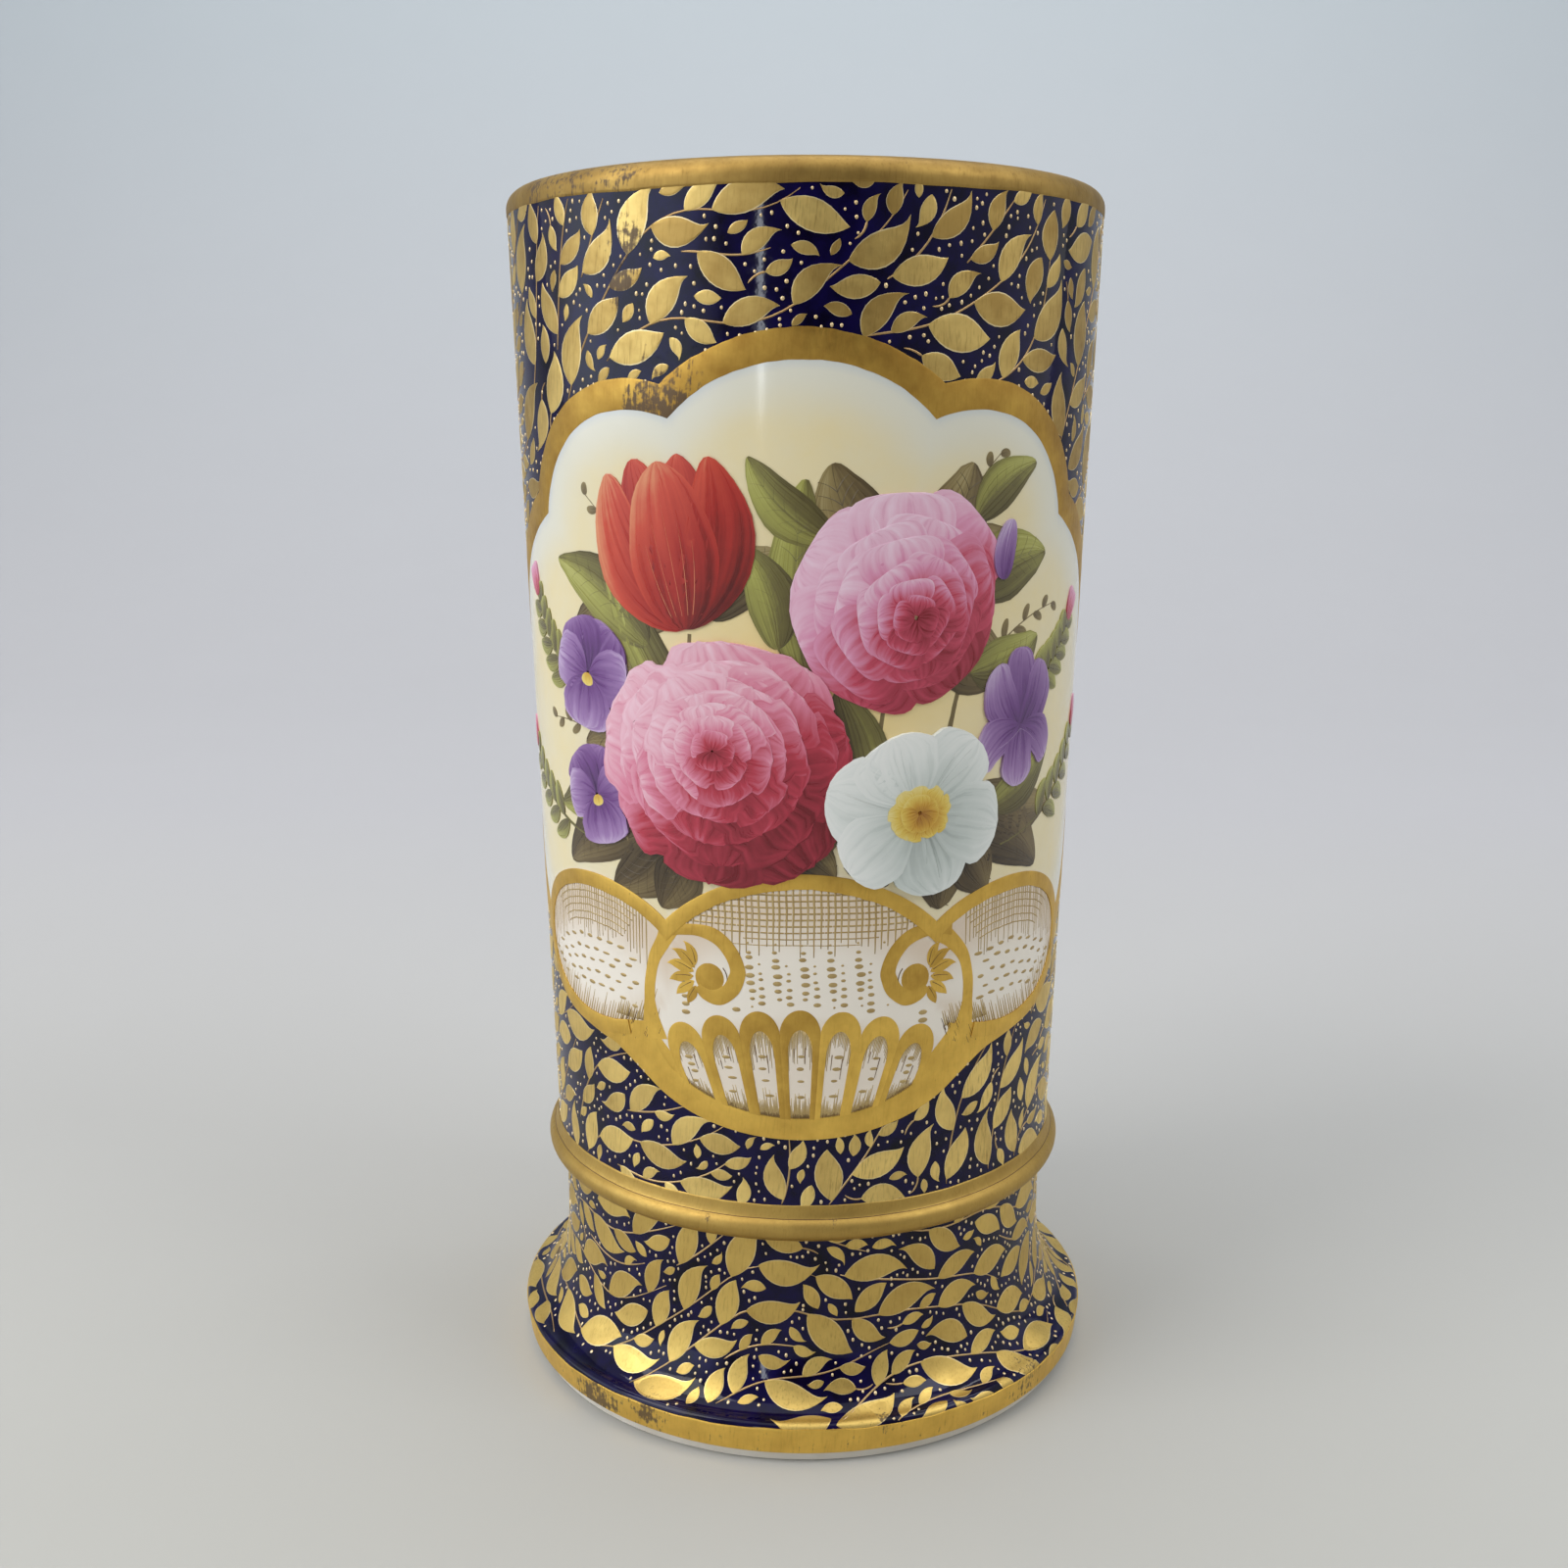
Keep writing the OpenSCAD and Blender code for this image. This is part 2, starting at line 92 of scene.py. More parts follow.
@dataclass
class Shell:
    """Points, quads and triangles of a piece, with values that its points carry.

    A value of one number for each point becomes an attribute, and one of two numbers becomes a UV map.
    """

    points: Array
    quads: Array
    triangles: Array = field(default_factory=lambda: np.zeros((0, 3), int))
    values: dict[str, Array] = field(default_factory=dict)

    @staticmethod
    def joined(*shells: "Shell") -> "Shell":
        """One shell of several, with the values that all of them carry.

        Args:
            shells: the shells.

        Returns:
            The joined shell.
        """
        starts = np.cumsum([0] + [len(s.points) for s in shells])
        names = set.intersection(*[set(s.values) for s in shells])
        return Shell(np.concatenate([s.points for s in shells]),
                     np.concatenate([s.quads + n for s, n in zip(shells, starts)]),
                     np.concatenate([s.triangles + n for s, n in zip(shells, starts)]),
                     {name: np.concatenate([s.values[name] for s in shells]) for name in sorted(names)})

    def piece(self, name: str, coat: Enum, stands_for: Sequence[str] = (),
              crease: float | None = None) -> None:
        """Makes a mesh object of this shell that rides on the vase.

        Args:
            name: name of the piece.
            coat: its finish, one of Fired, Gilt or Paint.
            stands_for: CAD nodes that it replaces.
            crease: angle in degrees past which an edge stays sharp; None keeps all edges smooth.
        """
        mesh = bpy.data.meshes.new(name)
        corners = np.concatenate([self.quads.ravel(), self.triangles.ravel()]).astype(np.int32)
        sizes = np.repeat([4, 3], [len(self.quads), len(self.triangles)])
        mesh.vertices.add(len(self.points))
        mesh.vertices.foreach_set("co", (self.points * MM).astype(np.float32).ravel())
        mesh.loops.add(len(corners))
        mesh.loops.foreach_set("vertex_index", corners)
        mesh.polygons.add(len(sizes))
        mesh.polygons.foreach_set("loop_start", (np.cumsum(sizes) - sizes).astype(np.int32))
        mesh.update(calc_edges=True)
        slot = coat.value.slot
        worn = {"rubbed": rubbing(self.points)} if slot is Slot.GILDING else {}
        for label, value in {**self.values, **worn}.items():
            if value.ndim == 2:
                layer = mesh.uv_layers.new(name=label)
                layer.data.foreach_set("uv", value[corners].astype(np.float32).ravel())
            else:
                layer = mesh.attributes.new(label, "FLOAT", "POINT")
                layer.data.foreach_set("value", value.astype(np.float32))
        mesh.polygons.foreach_set("use_smooth", np.ones(len(sizes), bool))
        if crease is not None:
            mesh.set_sharp_from_angle(angle=np.radians(crease))
        mesh.materials.append(coat.value.material())
        thing = bpy.data.objects.new(name, mesh)
        bpy.context.scene.collection.objects.link(thing)
        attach(thing, "root")
        if stands_for:
            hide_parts(*stands_for)
        LOG.info("%s: %d faces", name, len(sizes))


def grid_quads(rows: int, cols: int, loop_rows: bool = False, loop_cols: bool = False) -> Array:
    """Corners of a grid's cells, each anticlockwise where columns run right and rows up.

    Args:
        rows: rows of points.
        cols: columns of points.
        loop_rows: whether the last row joins the first.
        loop_cols: whether the last column joins the first.

    Returns:
        Indices of points, cells x 4.
    """
    i, j = np.meshgrid(np.arange(rows if loop_rows else rows - 1),
                       np.arange(cols if loop_cols else cols - 1), indexing="ij")
    up, right = (i + 1) % rows, (j + 1) % cols
    return np.stack([i * cols + j, i * cols + right, up * cols + right, up * cols + j], -1).reshape(-1, 4)


def arc(centre: Spot, a: float, b: float, start: float, end: float, count: int) -> Array:
    """Points of an ellipse: centre plus half axes times cosine and sine, from start to end degrees."""
    turn = np.radians(np.linspace(start, end, count))
    return np.stack([centre[0] + a * np.cos(turn), centre[1] + b * np.sin(turn)], -1)


def spline(places: Sequence[Spot], count: int) -> Array:
    """A smooth line through places: cubic pieces, with half the step between the neighbours as slope.

    Args:
        places: places on the line.
        count: number of points.

    Returns:
        The line's points.
    """
    inner = np.asarray(places, float)
    p = np.concatenate([[2 * inner[0] - inner[1]], inner, [2 * inner[-1] - inner[-2]]])
    share = np.linspace(0, len(inner) - 1, count)
    n = np.minimum(share.astype(int), len(inner) - 2)
    t = (share - n)[:, None]
    a, b, c, d = p[n], p[n + 1], p[n + 2], p[n + 3]
    return b + t / 2 * (c - a + t * (2 * a - 5 * b + 4 * c - d + t * (3 * (b - c) + d - a)))


def smooth_step(low: float, high: float, value: Array) -> Array:
    """0 below low and 1 above high, with the cubic 3t2 - 2t3 between them."""
    t = np.clip((value - low) / (high - low), 0, 1)
    return t * t * (3 - 2 * t)


def tremor(along: Array, amount: float, seed: int, waves: Sequence[int] = (3, 7, 13, 29)) -> Array:
    """Unsteadiness of a hand-drawn line: sine waves of whole numbers of periods and random phase, summed.

    Args:
        along: ways along the line, from 0 to 1.
        amount: size of the slowest wave.
        seed: number that the phases are drawn from.
        waves: numbers of periods.

    Returns:
        The distance from the true line at each way along.
    """
    phase = np.random.default_rng(seed).uniform(0, 2 * np.pi, len(waves))
    sines = [np.sin(2 * np.pi * k * along + p) / np.sqrt(k / waves[0]) for k, p in zip(waves, phase)]
    return amount * sum(sines) / 2


def pointing(turn: float) -> Array:
    """Unit vector at an angle in radians."""
    return np.array([np.cos(turn), np.sin(turn)])


def left_of(run: Array) -> Array:
    """Vectors turned by a quarter to the left."""
    return np.stack([-run[..., 1], run[..., 0]], -1)


def eased(count: int) -> Array:
    """Ways from 0 to 1 that are closer together at both ends, as half a turn of the cosine."""
    return (1 - np.cos(np.linspace(0, np.pi, count))) / 2


def turned(line: Array, segments: int = 256) -> Shell:
    """A line of (radius, height) carried round the axis.

    Args:
        line: points up the outer side and down the inner one. A line that starts and ends on the axis gets a
            pole at each end, and any other line closes on itself.
        segments: number of steps round the axis.

    Returns:
        The turned shell.
    """
    poles = line[0, 0] == 0
    ring = line[1:-1] if poles else line
    turn = np.arange(segments) * 2 * np.pi / segments
    grid = np.stack([ring[None, :, 0] * np.sin(turn)[:, None], -ring[None, :, 0] * np.cos(turn)[:, None],
                     np.broadcast_to(ring[None, :, 1], (segments, len(ring)))], -1)
    points = grid.reshape(-1, 3)
    quads = grid_quads(segments, len(ring), True, not poles)[:, ::-1]
    if not poles:
        return Shell(points, quads)
    here = np.arange(segments) * len(ring)
    there = np.roll(here, -1)
    low, high, last = len(points), len(points) + 1, len(ring) - 1
    fans = np.concatenate([np.stack([np.full(segments, low), there, here], -1),
                           np.stack([here + last, there + last, np.full(segments, high)], -1)])
    return Shell(np.concatenate([points, [[0, 0, line[0, 1]], [0, 0, line[-1, 1]]]]), quads, fans)


def node_reach(node: str) -> tuple[float, float, float]:
    """Greatest radius, lowest and highest height of a CAD node."""
    low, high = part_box(node)
    return high.x / MM, low.z / MM, high.z / MM


@dataclass
class Skin:
    """Line of the glazed vase from the bare foot over the lip to the well's middle, as the CAD turns it."""

    waist_r: float = 28.4
    coat: float = 0.35
    lip_t: float = 3.3
    bead_round: float = 1.3
    bead_rise: float = 2.0
    bead_shoulder: float = 50.0
    edge_round: float = 0.7
    edge_lean: float = 0.3
    edge_h: float = 4.6
    flare_h: float = 10.4
    gild: float = 0.16
    floor_t: float = 4.0
    well_fillet: float = 4.0
    steps: int = 20

    def __post_init__(self) -> None:
        """Reads the driving sizes from the CAD nodes and lays out the line."""
        self.lip_r, self.cove_z, self.vase_h = node_reach("cobalt_ground_wall")
        self.foot_r, self.bare_h, _ = node_reach("cobalt_ground_foot")
        self.neck_r = node_reach("luting_slip")[0] + self.coat
        self.ridge_r = node_reach("bead_gilding")[0] - self.gild
        self.seat_z = node_reach("body_cylinder")[1]
        self.lip_z = self.vase_h - self.lip_t / 2
        self.flare_z = self.edge_h + self.flare_h
        self.floor_z = self.seat_z + self.floor_t + self.coat
        n, lip, bead = self.steps, self.lip_t / 2, self.bead_round
        edge, well = self.edge_round, self.well_fillet
        edge_c = self.foot_r - edge
        ridge_c = (self.ridge_r - bead, self.seat_z + self.bead_rise)
        under = -np.degrees(np.arccos((self.neck_r - ridge_c[0]) / bead))
        ridge = arc(ridge_c, bead, bead, under, self.bead_shoulder, n)
        brow = ridge[-1]
        cove = arc((brow[0], self.cove_z), brow[0] - self.waist_r, self.cove_z - brow[1], 270, 180, n)
        well_z = self.floor_z + well
        well_c = (self.wall_r(well_z) - self.lip_t - well, well_z)
        stretches = {
            "bare": [[self.foot_r - self.edge_lean, self.bare_h]],
            "edge": arc((edge_c, self.edge_h - edge), edge, edge, 0, 90, n),
            "flare": arc((edge_c, self.flare_z), edge_c - self.neck_r, self.flare_h, 270, 180, 2 * n)[1:],
            "neck": np.linspace([self.neck_r, self.flare_z], ridge[0], n)[1:-1],
            "ridge": ridge,
            "cove": cove[1:],
            "wall": np.linspace(cove[-1], [self.lip_r, self.lip_z], 4 * n)[1:-1],
            "lip": arc((self.lip_r - lip, self.lip_z), lip, lip, 0, 180, 2 * n),
            "well": np.linspace([self.lip_r - self.lip_t, self.lip_z], [well_c[0] + well, well_z],
                                2 * n)[1:-1],
            "fillet": arc(well_c, well, well, 0, -90, n),
            "floor": np.linspace([well_c[0], self.floor_z], [0, self.floor_z], n)[1:],
        }
        self.line = np.concatenate([np.asarray(s) for s in stretches.values()])
        steps = np.linalg.norm(np.diff(self.line, axis=0), axis=1)
        self.along = np.concatenate([[0], np.cumsum(steps)])
        self.first = dict(zip(stretches, np.cumsum([0] + [len(s) for s in stretches.values()])))
        self.start = {name: self.along[n] for name, n in self.first.items()}
        run = np.gradient(self.line, self.along, axis=0)
        run /= np.linalg.norm(run, axis=1, keepdims=True)
        self.normal = np.stack([run[:, 1], -run[:, 0]], -1)

    def wall_r(self, z: float | Array) -> float | Array:
        """Radius of the straight wall at a height."""
        return self.waist_r + (self.lip_r - self.waist_r) * (z - self.cove_z) / (self.lip_z - self.cove_z)

    def offset(self, depth: float) -> Array:
        """The line moved inwards along its normals."""
        return self.line - depth * self.normal

    def on(self, turn: Array, along: Array, lift: Array | float) -> Array:
        """Points at a bearing in radians and a length along the line, lifted along the normal."""
        r, z = [np.interp(along, self.along, self.line[:, n])
                + lift * np.interp(along, self.along, self.normal[:, n]) for n in (0, 1)]
        return np.stack([r * np.sin(turn), -r * np.cos(turn), z], -1)


@dataclass
class Field:
    """A flat pattern wrapped on a stretch of the skin, true to length at its girth radius.

    A pattern's y is origin at the length start along the skin, and stretch is the length for each step of y.
    """

    skin: Skin
    girth: float
    start: float = 0.0
    origin: float = 0.0
    stretch: float = 1.0

    def wrap(self, flat: Array, lift: Array | float) -> Array:
        """Points of the flat pattern on the skin: x over the girth is the bearing, y the length along it."""
        along = self.start + (flat[..., 1] - self.origin) * self.stretch
        return self.skin.on(flat[..., 0] / self.girth, along, lift)


FLAT = np.array([0.0, 0.12, 0.5, 0.88, 1.0])
NARROW = np.array([0.0, 0.5, 1.0])
HAIR = np.array([0.0, 1.0])
BOTH_EDGES = np.array([-1.0, 1.0])


def slabs(ground: Field, left: Array, right: Array, heights: Array, root: float = 0.05, across: Array = FLAT,
          loop: bool = False, tone: Array | None = None, seed: int = 0) -> Shell:
    """Thin closed slabs that lie on the skin between two edges.

    Each slab is a section carried along a path: across it runs straight from the left edge to the right one
    at the given heights, and back under the skin at the root depth.

    Args:
        ground: field that the slabs lie on.
        left: left edges, slabs x rows x 2.
        right: right edges, the same shape.
        heights: lift of the top, which broadcasts to slabs x rows x places across.
        root: depth of the underside below the skin.
        across: places across a slab, from 0 at the left to 1 at the right.
        loop: whether the rows close on themselves, as a band's do.
        tone: shade of the top, which broadcasts as heights do.
        seed: seed of the number that each slab carries.

    Returns:
        A shell with the values brush (place across and along), seed and tone.
    """
    count, rows, _ = left.shape
    cols = len(across)
    ring = cols + 2
    top = left[:, :, None] + (right - left)[:, :, None] * across[:, None]
    flat = np.concatenate([top, np.stack([right, left], 2)], 2)
    under = np.full((count, rows, 2), -root)
    lifts = np.concatenate([np.broadcast_to(heights, (count, rows, cols)), under], 2)
    points = ground.wrap(flat, lifts).reshape(-1, 3)
    first = np.arange(count)[:, None, None] * rows * ring
    quads = (grid_quads(rows, ring, loop, True)[None] + first).reshape(-1, 4)
    fans = np.zeros((0, 3), int)
    if not loop:
        j = np.arange(cols - 1)
        corner = np.full(cols - 1, cols + 1)
        cap = np.concatenate([np.stack([corner, j + 1, j], -1), [[cols + 1, cols, cols - 1]]])
        fans = (np.concatenate([cap, cap[:, ::-1] + (rows - 1) * ring])[None] + first).reshape(-1, 3)
    place = np.concatenate([across, [1.0, 0.0]])
    brush = np.stack(np.broadcast_arrays(place[None, None], np.linspace(0, 1, rows)[None, :, None],
                                         np.zeros((count, 1, 1)))[:2], -1)
    shade = np.broadcast_to(0.5 if tone is None else tone, (count, rows, cols))
    shade = np.concatenate([shade, shade[:, :, -1:], shade[:, :, :1]], 2)
    number = np.random.default_rng(seed).uniform(0, 1, (count, 1, 1))
    return Shell(points, quads, fans, {"brush": brush.reshape(-1, 2), "tone": shade.ravel(),
                                       "seed": np.broadcast_to(number, (count, rows, ring)).ravel()})


def ordered(left: Array, right: Array) -> tuple[Array, Array]:
    """The two edges of slabs, changed over if the right one lies to the left of the way along.

    Args:
        left: one set of edges, slabs x rows x 2.
        right: the other set.

    Returns:
        The left edges and the right ones.
    """
    run, aside = np.diff(left, axis=1), (right - left)[:, :-1]
    turn = run[..., 0] * aside[..., 1] - run[..., 1] * aside[..., 0]
    return (right, left) if turn.sum() > 0 else (left, right)


def strokes(ground: Field, paths: Array | Sequence[Array], widths: Array, lift: float, across: Array = NARROW,
            tone: Array | float = 0.5, seed: int = 0) -> Shell:
    """Brush or pen strokes: slabs of the given widths along paths, half the width to each side of the path.

    Args:
        ground: field that the strokes lie on.
        paths: middles of the strokes, strokes x rows x 2.
        widths: widths, which broadcast to strokes x rows.
        lift: height of the crest.
        across: places across a stroke.
        tone: shade, which broadcasts to strokes x rows x places.
        seed: seed of the number that each stroke carries.

    Returns:
        The shell of all the strokes.
    """
    paths = np.asarray(paths)
    run = np.gradient(paths, axis=1)
    run /= np.linalg.norm(run, axis=2, keepdims=True)
    aside = left_of(run) * np.broadcast_to(widths, paths.shape[:2])[..., None] / 2
    crest = lift * (1 - 0.4 * np.abs(2 * across - 1))
    return slabs(ground, paths + aside, paths - aside, crest, across=across, tone=np.asarray(tone), seed=seed)


def domes(ground: Field, dots: Array | Sequence[Sequence[float]], lift: float, seed: int,
          sides: int = 8) -> Shell:
    """Dots of gilding or enamel: low domes of two rings and a crown, closed under the skin.

    Args:
        ground: field that the dots lie on.
        dots: centres, half widths and half heights, dots x 4.
        lift: height of the crown.
        seed: seed of the number that each dot carries.
        sides: corners of a ring.

    Returns:
        The shell of all the dots.
    """
    dots = np.asarray(dots)
    turn = np.arange(sides) * 2 * np.pi / sides
    ring = np.stack([np.cos(turn), np.sin(turn)], -1)
    unit = np.concatenate([ring, 0.7 * ring, [[0, 0], [0, 0]]])
    lifts = np.concatenate([np.full(sides, -0.04), np.full(sides, 0.7 * lift), [lift, -0.05]])
    points = ground.wrap(dots[:, None, :2] + unit[None] * dots[:, None, 2:], lifts[None]).reshape(-1, 3)
    here, there = np.arange(sides), np.roll(np.arange(sides), -1)
    quads = np.stack([here, there, there + sides, here + sides], -1)
    crown, base = np.full(sides, 2 * sides), np.full(sides, 2 * sides + 1)
    fans = np.concatenate([np.stack([here + sides, there + sides, crown], -1),
                           np.stack([there, here, base], -1)])
    first = np.arange(len(dots))[:, None, None] * len(unit)
    number = np.repeat(np.random.default_rng(seed).uniform(0, 1, len(dots)), len(unit))
    brush = np.tile(0.5 + 0.5 * unit, (len(dots), 1))
    return Shell(points, (quads[None] + first).reshape(-1, 4), (fans[None] + first).reshape(-1, 3),
                 {"brush": brush, "tone": np.full(len(points), 0.8), "seed": number})


class Graph:
    """Short hand for a node tree: a node, its settings, values and links in one call."""

    shader: Node

    def __init__(self, tree: bpy.types.NodeTree) -> None:
        """Wraps a node tree."""
        self.tree = tree

    def feed(self, node: Node, sockets: dict[str | int, object]) -> Node:
        """Gives input sockets of a node their values or links.

        Args:
            node: the node.
            sockets: values or output sockets, by name or number of the input.

        Returns:
            The node.
        """
        for name, value in sockets.items():
            if isinstance(value, Socket):
                self.tree.links.new(value, node.inputs[name])
            else:
                node.inputs[name].default_value = value
        return node

    def add(self, kind: str, sockets: dict[str | int, object] | None = None, **settings: object) -> Node:
        """A new shader node.

        Args:
            kind: its type, without the words that start the type of every shader node.
            sockets: values or links of its inputs.
            settings: its settings, which are set first.

        Returns:
            The node.
        """
        node = self.tree.nodes.new(f"ShaderNode{kind}")
        for name, value in settings.items():
            setattr(node, name, value)
        return self.feed(node, sockets or {})

    def maths(self, operation: str, *values: object) -> Socket:
        """Result of a Math node on one to three values or links."""
        return self.add("Math", dict(enumerate(values)), operation=operation).outputs[0]

    def times(self, value: object, factor: object) -> Socket:
        """Product of two values or links."""
        return self.maths("MULTIPLY", value, factor)

    def scaled(self, value: object, factor: object, rest: object) -> Socket:
        """Value times factor, plus the rest."""
        return self.maths("MULTIPLY_ADD", value, factor, rest)

    def blend(self, factor: object, low: object, high: object) -> Socket:
        """Colour from low to high by a factor."""
        low, high = [(*c, 1.0) if isinstance(c, tuple) else c for c in (low, high)]
        return self.add("Mix", {0: factor, 6: low, 7: high}, data_type="RGBA").outputs[2]

    def range(self, value: object, start: object, end: object, low: float = 0.0, high: float = 1.0) -> Socket:
        """Value carried from start..end to low..high, held at the ends."""
        return self.add("MapRange", {0: value, 1: start, 2: end, 3: low, 4: high}).outputs[0]

    def attribute(self, name: str) -> Socket:
        """A number that the mesh carries."""
        return self.add("Attribute", attribute_name=name).outputs["Fac"]

    def millimetres(self) -> Socket:
        """Object coordinates in millimetres."""
        place = self.add("TexCoord").outputs["Object"]
        return self.add("VectorMath", {0: place, "Scale": 1 / MM}, operation="SCALE").outputs[0]

    def parts(self, vector: Socket) -> Sequence[Socket]:
        """The three numbers of a vector."""
        return self.add("SeparateXYZ", {0: vector}).outputs

    def brush(self) -> Sequence[Socket]:
        """Place across and along a stroke, as the mesh's brush map has it."""
        return self.parts(self.add("UVMap", uv_map="brush").outputs[0])

    def coat(self, sockets: dict[str | int, object], height: Socket, depth: float) -> None:
        """Feeds the material's shader, and gives it a bump of the given depth in millimetres."""
        bump = self.add("Bump", {"Height": height, "Distance": depth * MM, "Strength": 1.0})
        self.feed(self.shader, {**sockets, "Normal": bump.outputs[0]})


@dataclass(frozen=True)
class Effect:
    """A shared shader node group: its name, outputs, inputs with their usual values, and its maker."""

    name: str
    outputs: tuple[str, ...]
    inputs: dict[str, float]
    maker: Callable[[Graph, Sequence[Socket]], Sequence[Socket]]

    def group(self) -> bpy.types.NodeTree:
        """The node group, made at its first use.

        Returns:
            The group's tree.
        """
        if self.name in bpy.data.node_groups:
            return bpy.data.node_groups[self.name]
        tree = bpy.data.node_groups.new(self.name, "ShaderNodeTree")
        for name, usual in self.inputs.items():
            socket = tree.interface.new_socket(name, in_out="INPUT", socket_type="NodeSocketFloat")
            socket.default_value = usual
        for name in self.outputs:
            tree.interface.new_socket(name, in_out="OUTPUT", socket_type="NodeSocketFloat")
        graph = Graph(tree)
        results = self.maker(graph, tree.nodes.new("NodeGroupInput").outputs)
        graph.feed(tree.nodes.new("NodeGroupOutput"), dict(zip(self.outputs, results)))
        return tree

    def place(self, graph: Graph, *values: float) -> Sequence[Socket]:
        """Outputs of the group as placed in a material, with values for its inputs."""
        return graph.add("Group", dict(enumerate(values)), node_tree=self.group()).outputs


def make_mottle(graph: Graph, given: Sequence[Socket]) -> Sequence[Socket]:
    """Cloudy unevenness of a fired coat: noise of a given size, pushed towards its ends by the contrast.

    Args:
        graph: the group's graph.
        given: its inputs.

    Returns:
        The mask.
    """
    pitch = graph.maths("DIVIDE", 1.0, given["Size"])
    place = {"Vector": graph.millimetres(), "Scale": pitch, "Detail": 4.0, "Roughness": 0.6}
    spread = graph.maths("SUBTRACT", graph.add("TexNoise", place).outputs[0], 0.5)
    return [graph.add("Clamp", {"Value": graph.scaled(spread, given["Contrast"], 0.5)}).outputs[0]]


def make_scuffs(graph: Graph, _: Sequence[Socket]) -> Sequence[Socket]:
    """Fine burnishing marks: noise drawn out to nearly upright lines.

    Args:
        graph: the group's graph.

    Returns:
        The crests of the noise alone, and its even grain.
    """
    drawn = graph.add("Mapping", {"Vector": graph.millimetres(), "Rotation": (0.10, 0.08, 0.0),
                                  "Scale": (0.22, 0.22, 2.4)}, vector_type="TEXTURE")
    noise = graph.add("TexNoise", {"Vector": drawn.outputs[0], "Scale": 1.0, "Detail": 3.0}).outputs[0]
    return [graph.range(noise, 0.52, 0.70), graph.range(noise, 0.3, 0.7)]


def make_streaks(graph: Graph, given: Sequence[Socket], breaks: float = 1.5) -> Sequence[Socket]:
    """Brush streaks along a stroke: noise much finer across the brush map than along it, shifted by stroke.

    Args:
        graph: the group's graph.
        given: its inputs.
        breaks: how often a streak changes on its way along.

    Returns:
        The streaks.
    """
    across, along = graph.brush()[:2]
    shift = graph.times(graph.attribute("seed"), 37.0)
    place = {0: graph.scaled(across, given["Lines"], shift), 1: graph.times(along, breaks), 2: shift}
    spot = graph.add("CombineXYZ", place).outputs[0]
    noise = graph.add("TexNoise", {"Vector": spot, "Scale": 1.0, "Detail": 2.0})
    return [graph.range(noise.outputs[0], 0.3, 0.7)]


def make_edge_highlight(graph: Graph, _: Sequence[Socket], width: float = 0.11) -> Sequence[Socket]:
    """Mask of the painted highlight along a leaf's edge, partly its thicker gold: how near a point is to the
    sides or ends of its brush map.

    Args:
        graph: the group's graph.
        width: share of the half width that the outline takes.

    Returns:
        The mask.
    """
    near = graph.maths("MAXIMUM", *[graph.maths("ABSOLUTE", graph.scaled(part, 2.0, -1.0))
                                    for part in graph.brush()[:2]])
    edge = graph.add("MapRange", {0: near, 1: 1.0 - width, 2: 1.0}, interpolation_type="SMOOTHSTEP")
    return [edge.outputs[0]]


MOTTLE = Effect("mottle", ("Mask",), {"Size": 4.0, "Contrast": 1.5}, make_mottle)
SCUFFS = Effect("scuffs", ("Mask", "Grain"), {}, make_scuffs)
STREAKS = Effect("brush_streaks", ("Streak",), {"Lines": 14.0}, make_streaks)
EDGE_HIGHLIGHT = Effect("leaf_edge_highlight", ("Mask",), {}, make_edge_highlight)


def mottle(graph: Graph, size: float, contrast: float) -> Socket:
    """Mask of a mottle of a size in millimetres."""
    return MOTTLE.place(graph, size, contrast)[0]


def new_finish(name: str) -> tuple[Finish, Graph]:
    """A new material, whose graph holds a Principled shader that is joined to the output.

    Args:
        name: name of the material.

    Returns:
        The material and its graph.
    """
    material = bpy.data.materials.new(name)
    material.use_nodes = True
    material.node_tree.nodes.clear()
    graph = Graph(material.node_tree)
    graph.shader = graph.add("BsdfPrincipled")
    graph.add("OutputMaterial", {"Surface": graph.shader.outputs[0]})
    return material, graph


@dataclass(frozen=True)
class Coat:
    """A fired coat, with the name of its material."""

    name: str

    @cache
    def material(self) -> Finish:
        """The coat's material, made at its first use.

        Returns:
            The material.
        """
        material, graph = new_finish(self.name)
        self.dress(graph)
        return material

    def dress(self, graph: Graph) -> None:
        """Lays out the coat's nodes in its material's graph."""
        raise NotImplementedError


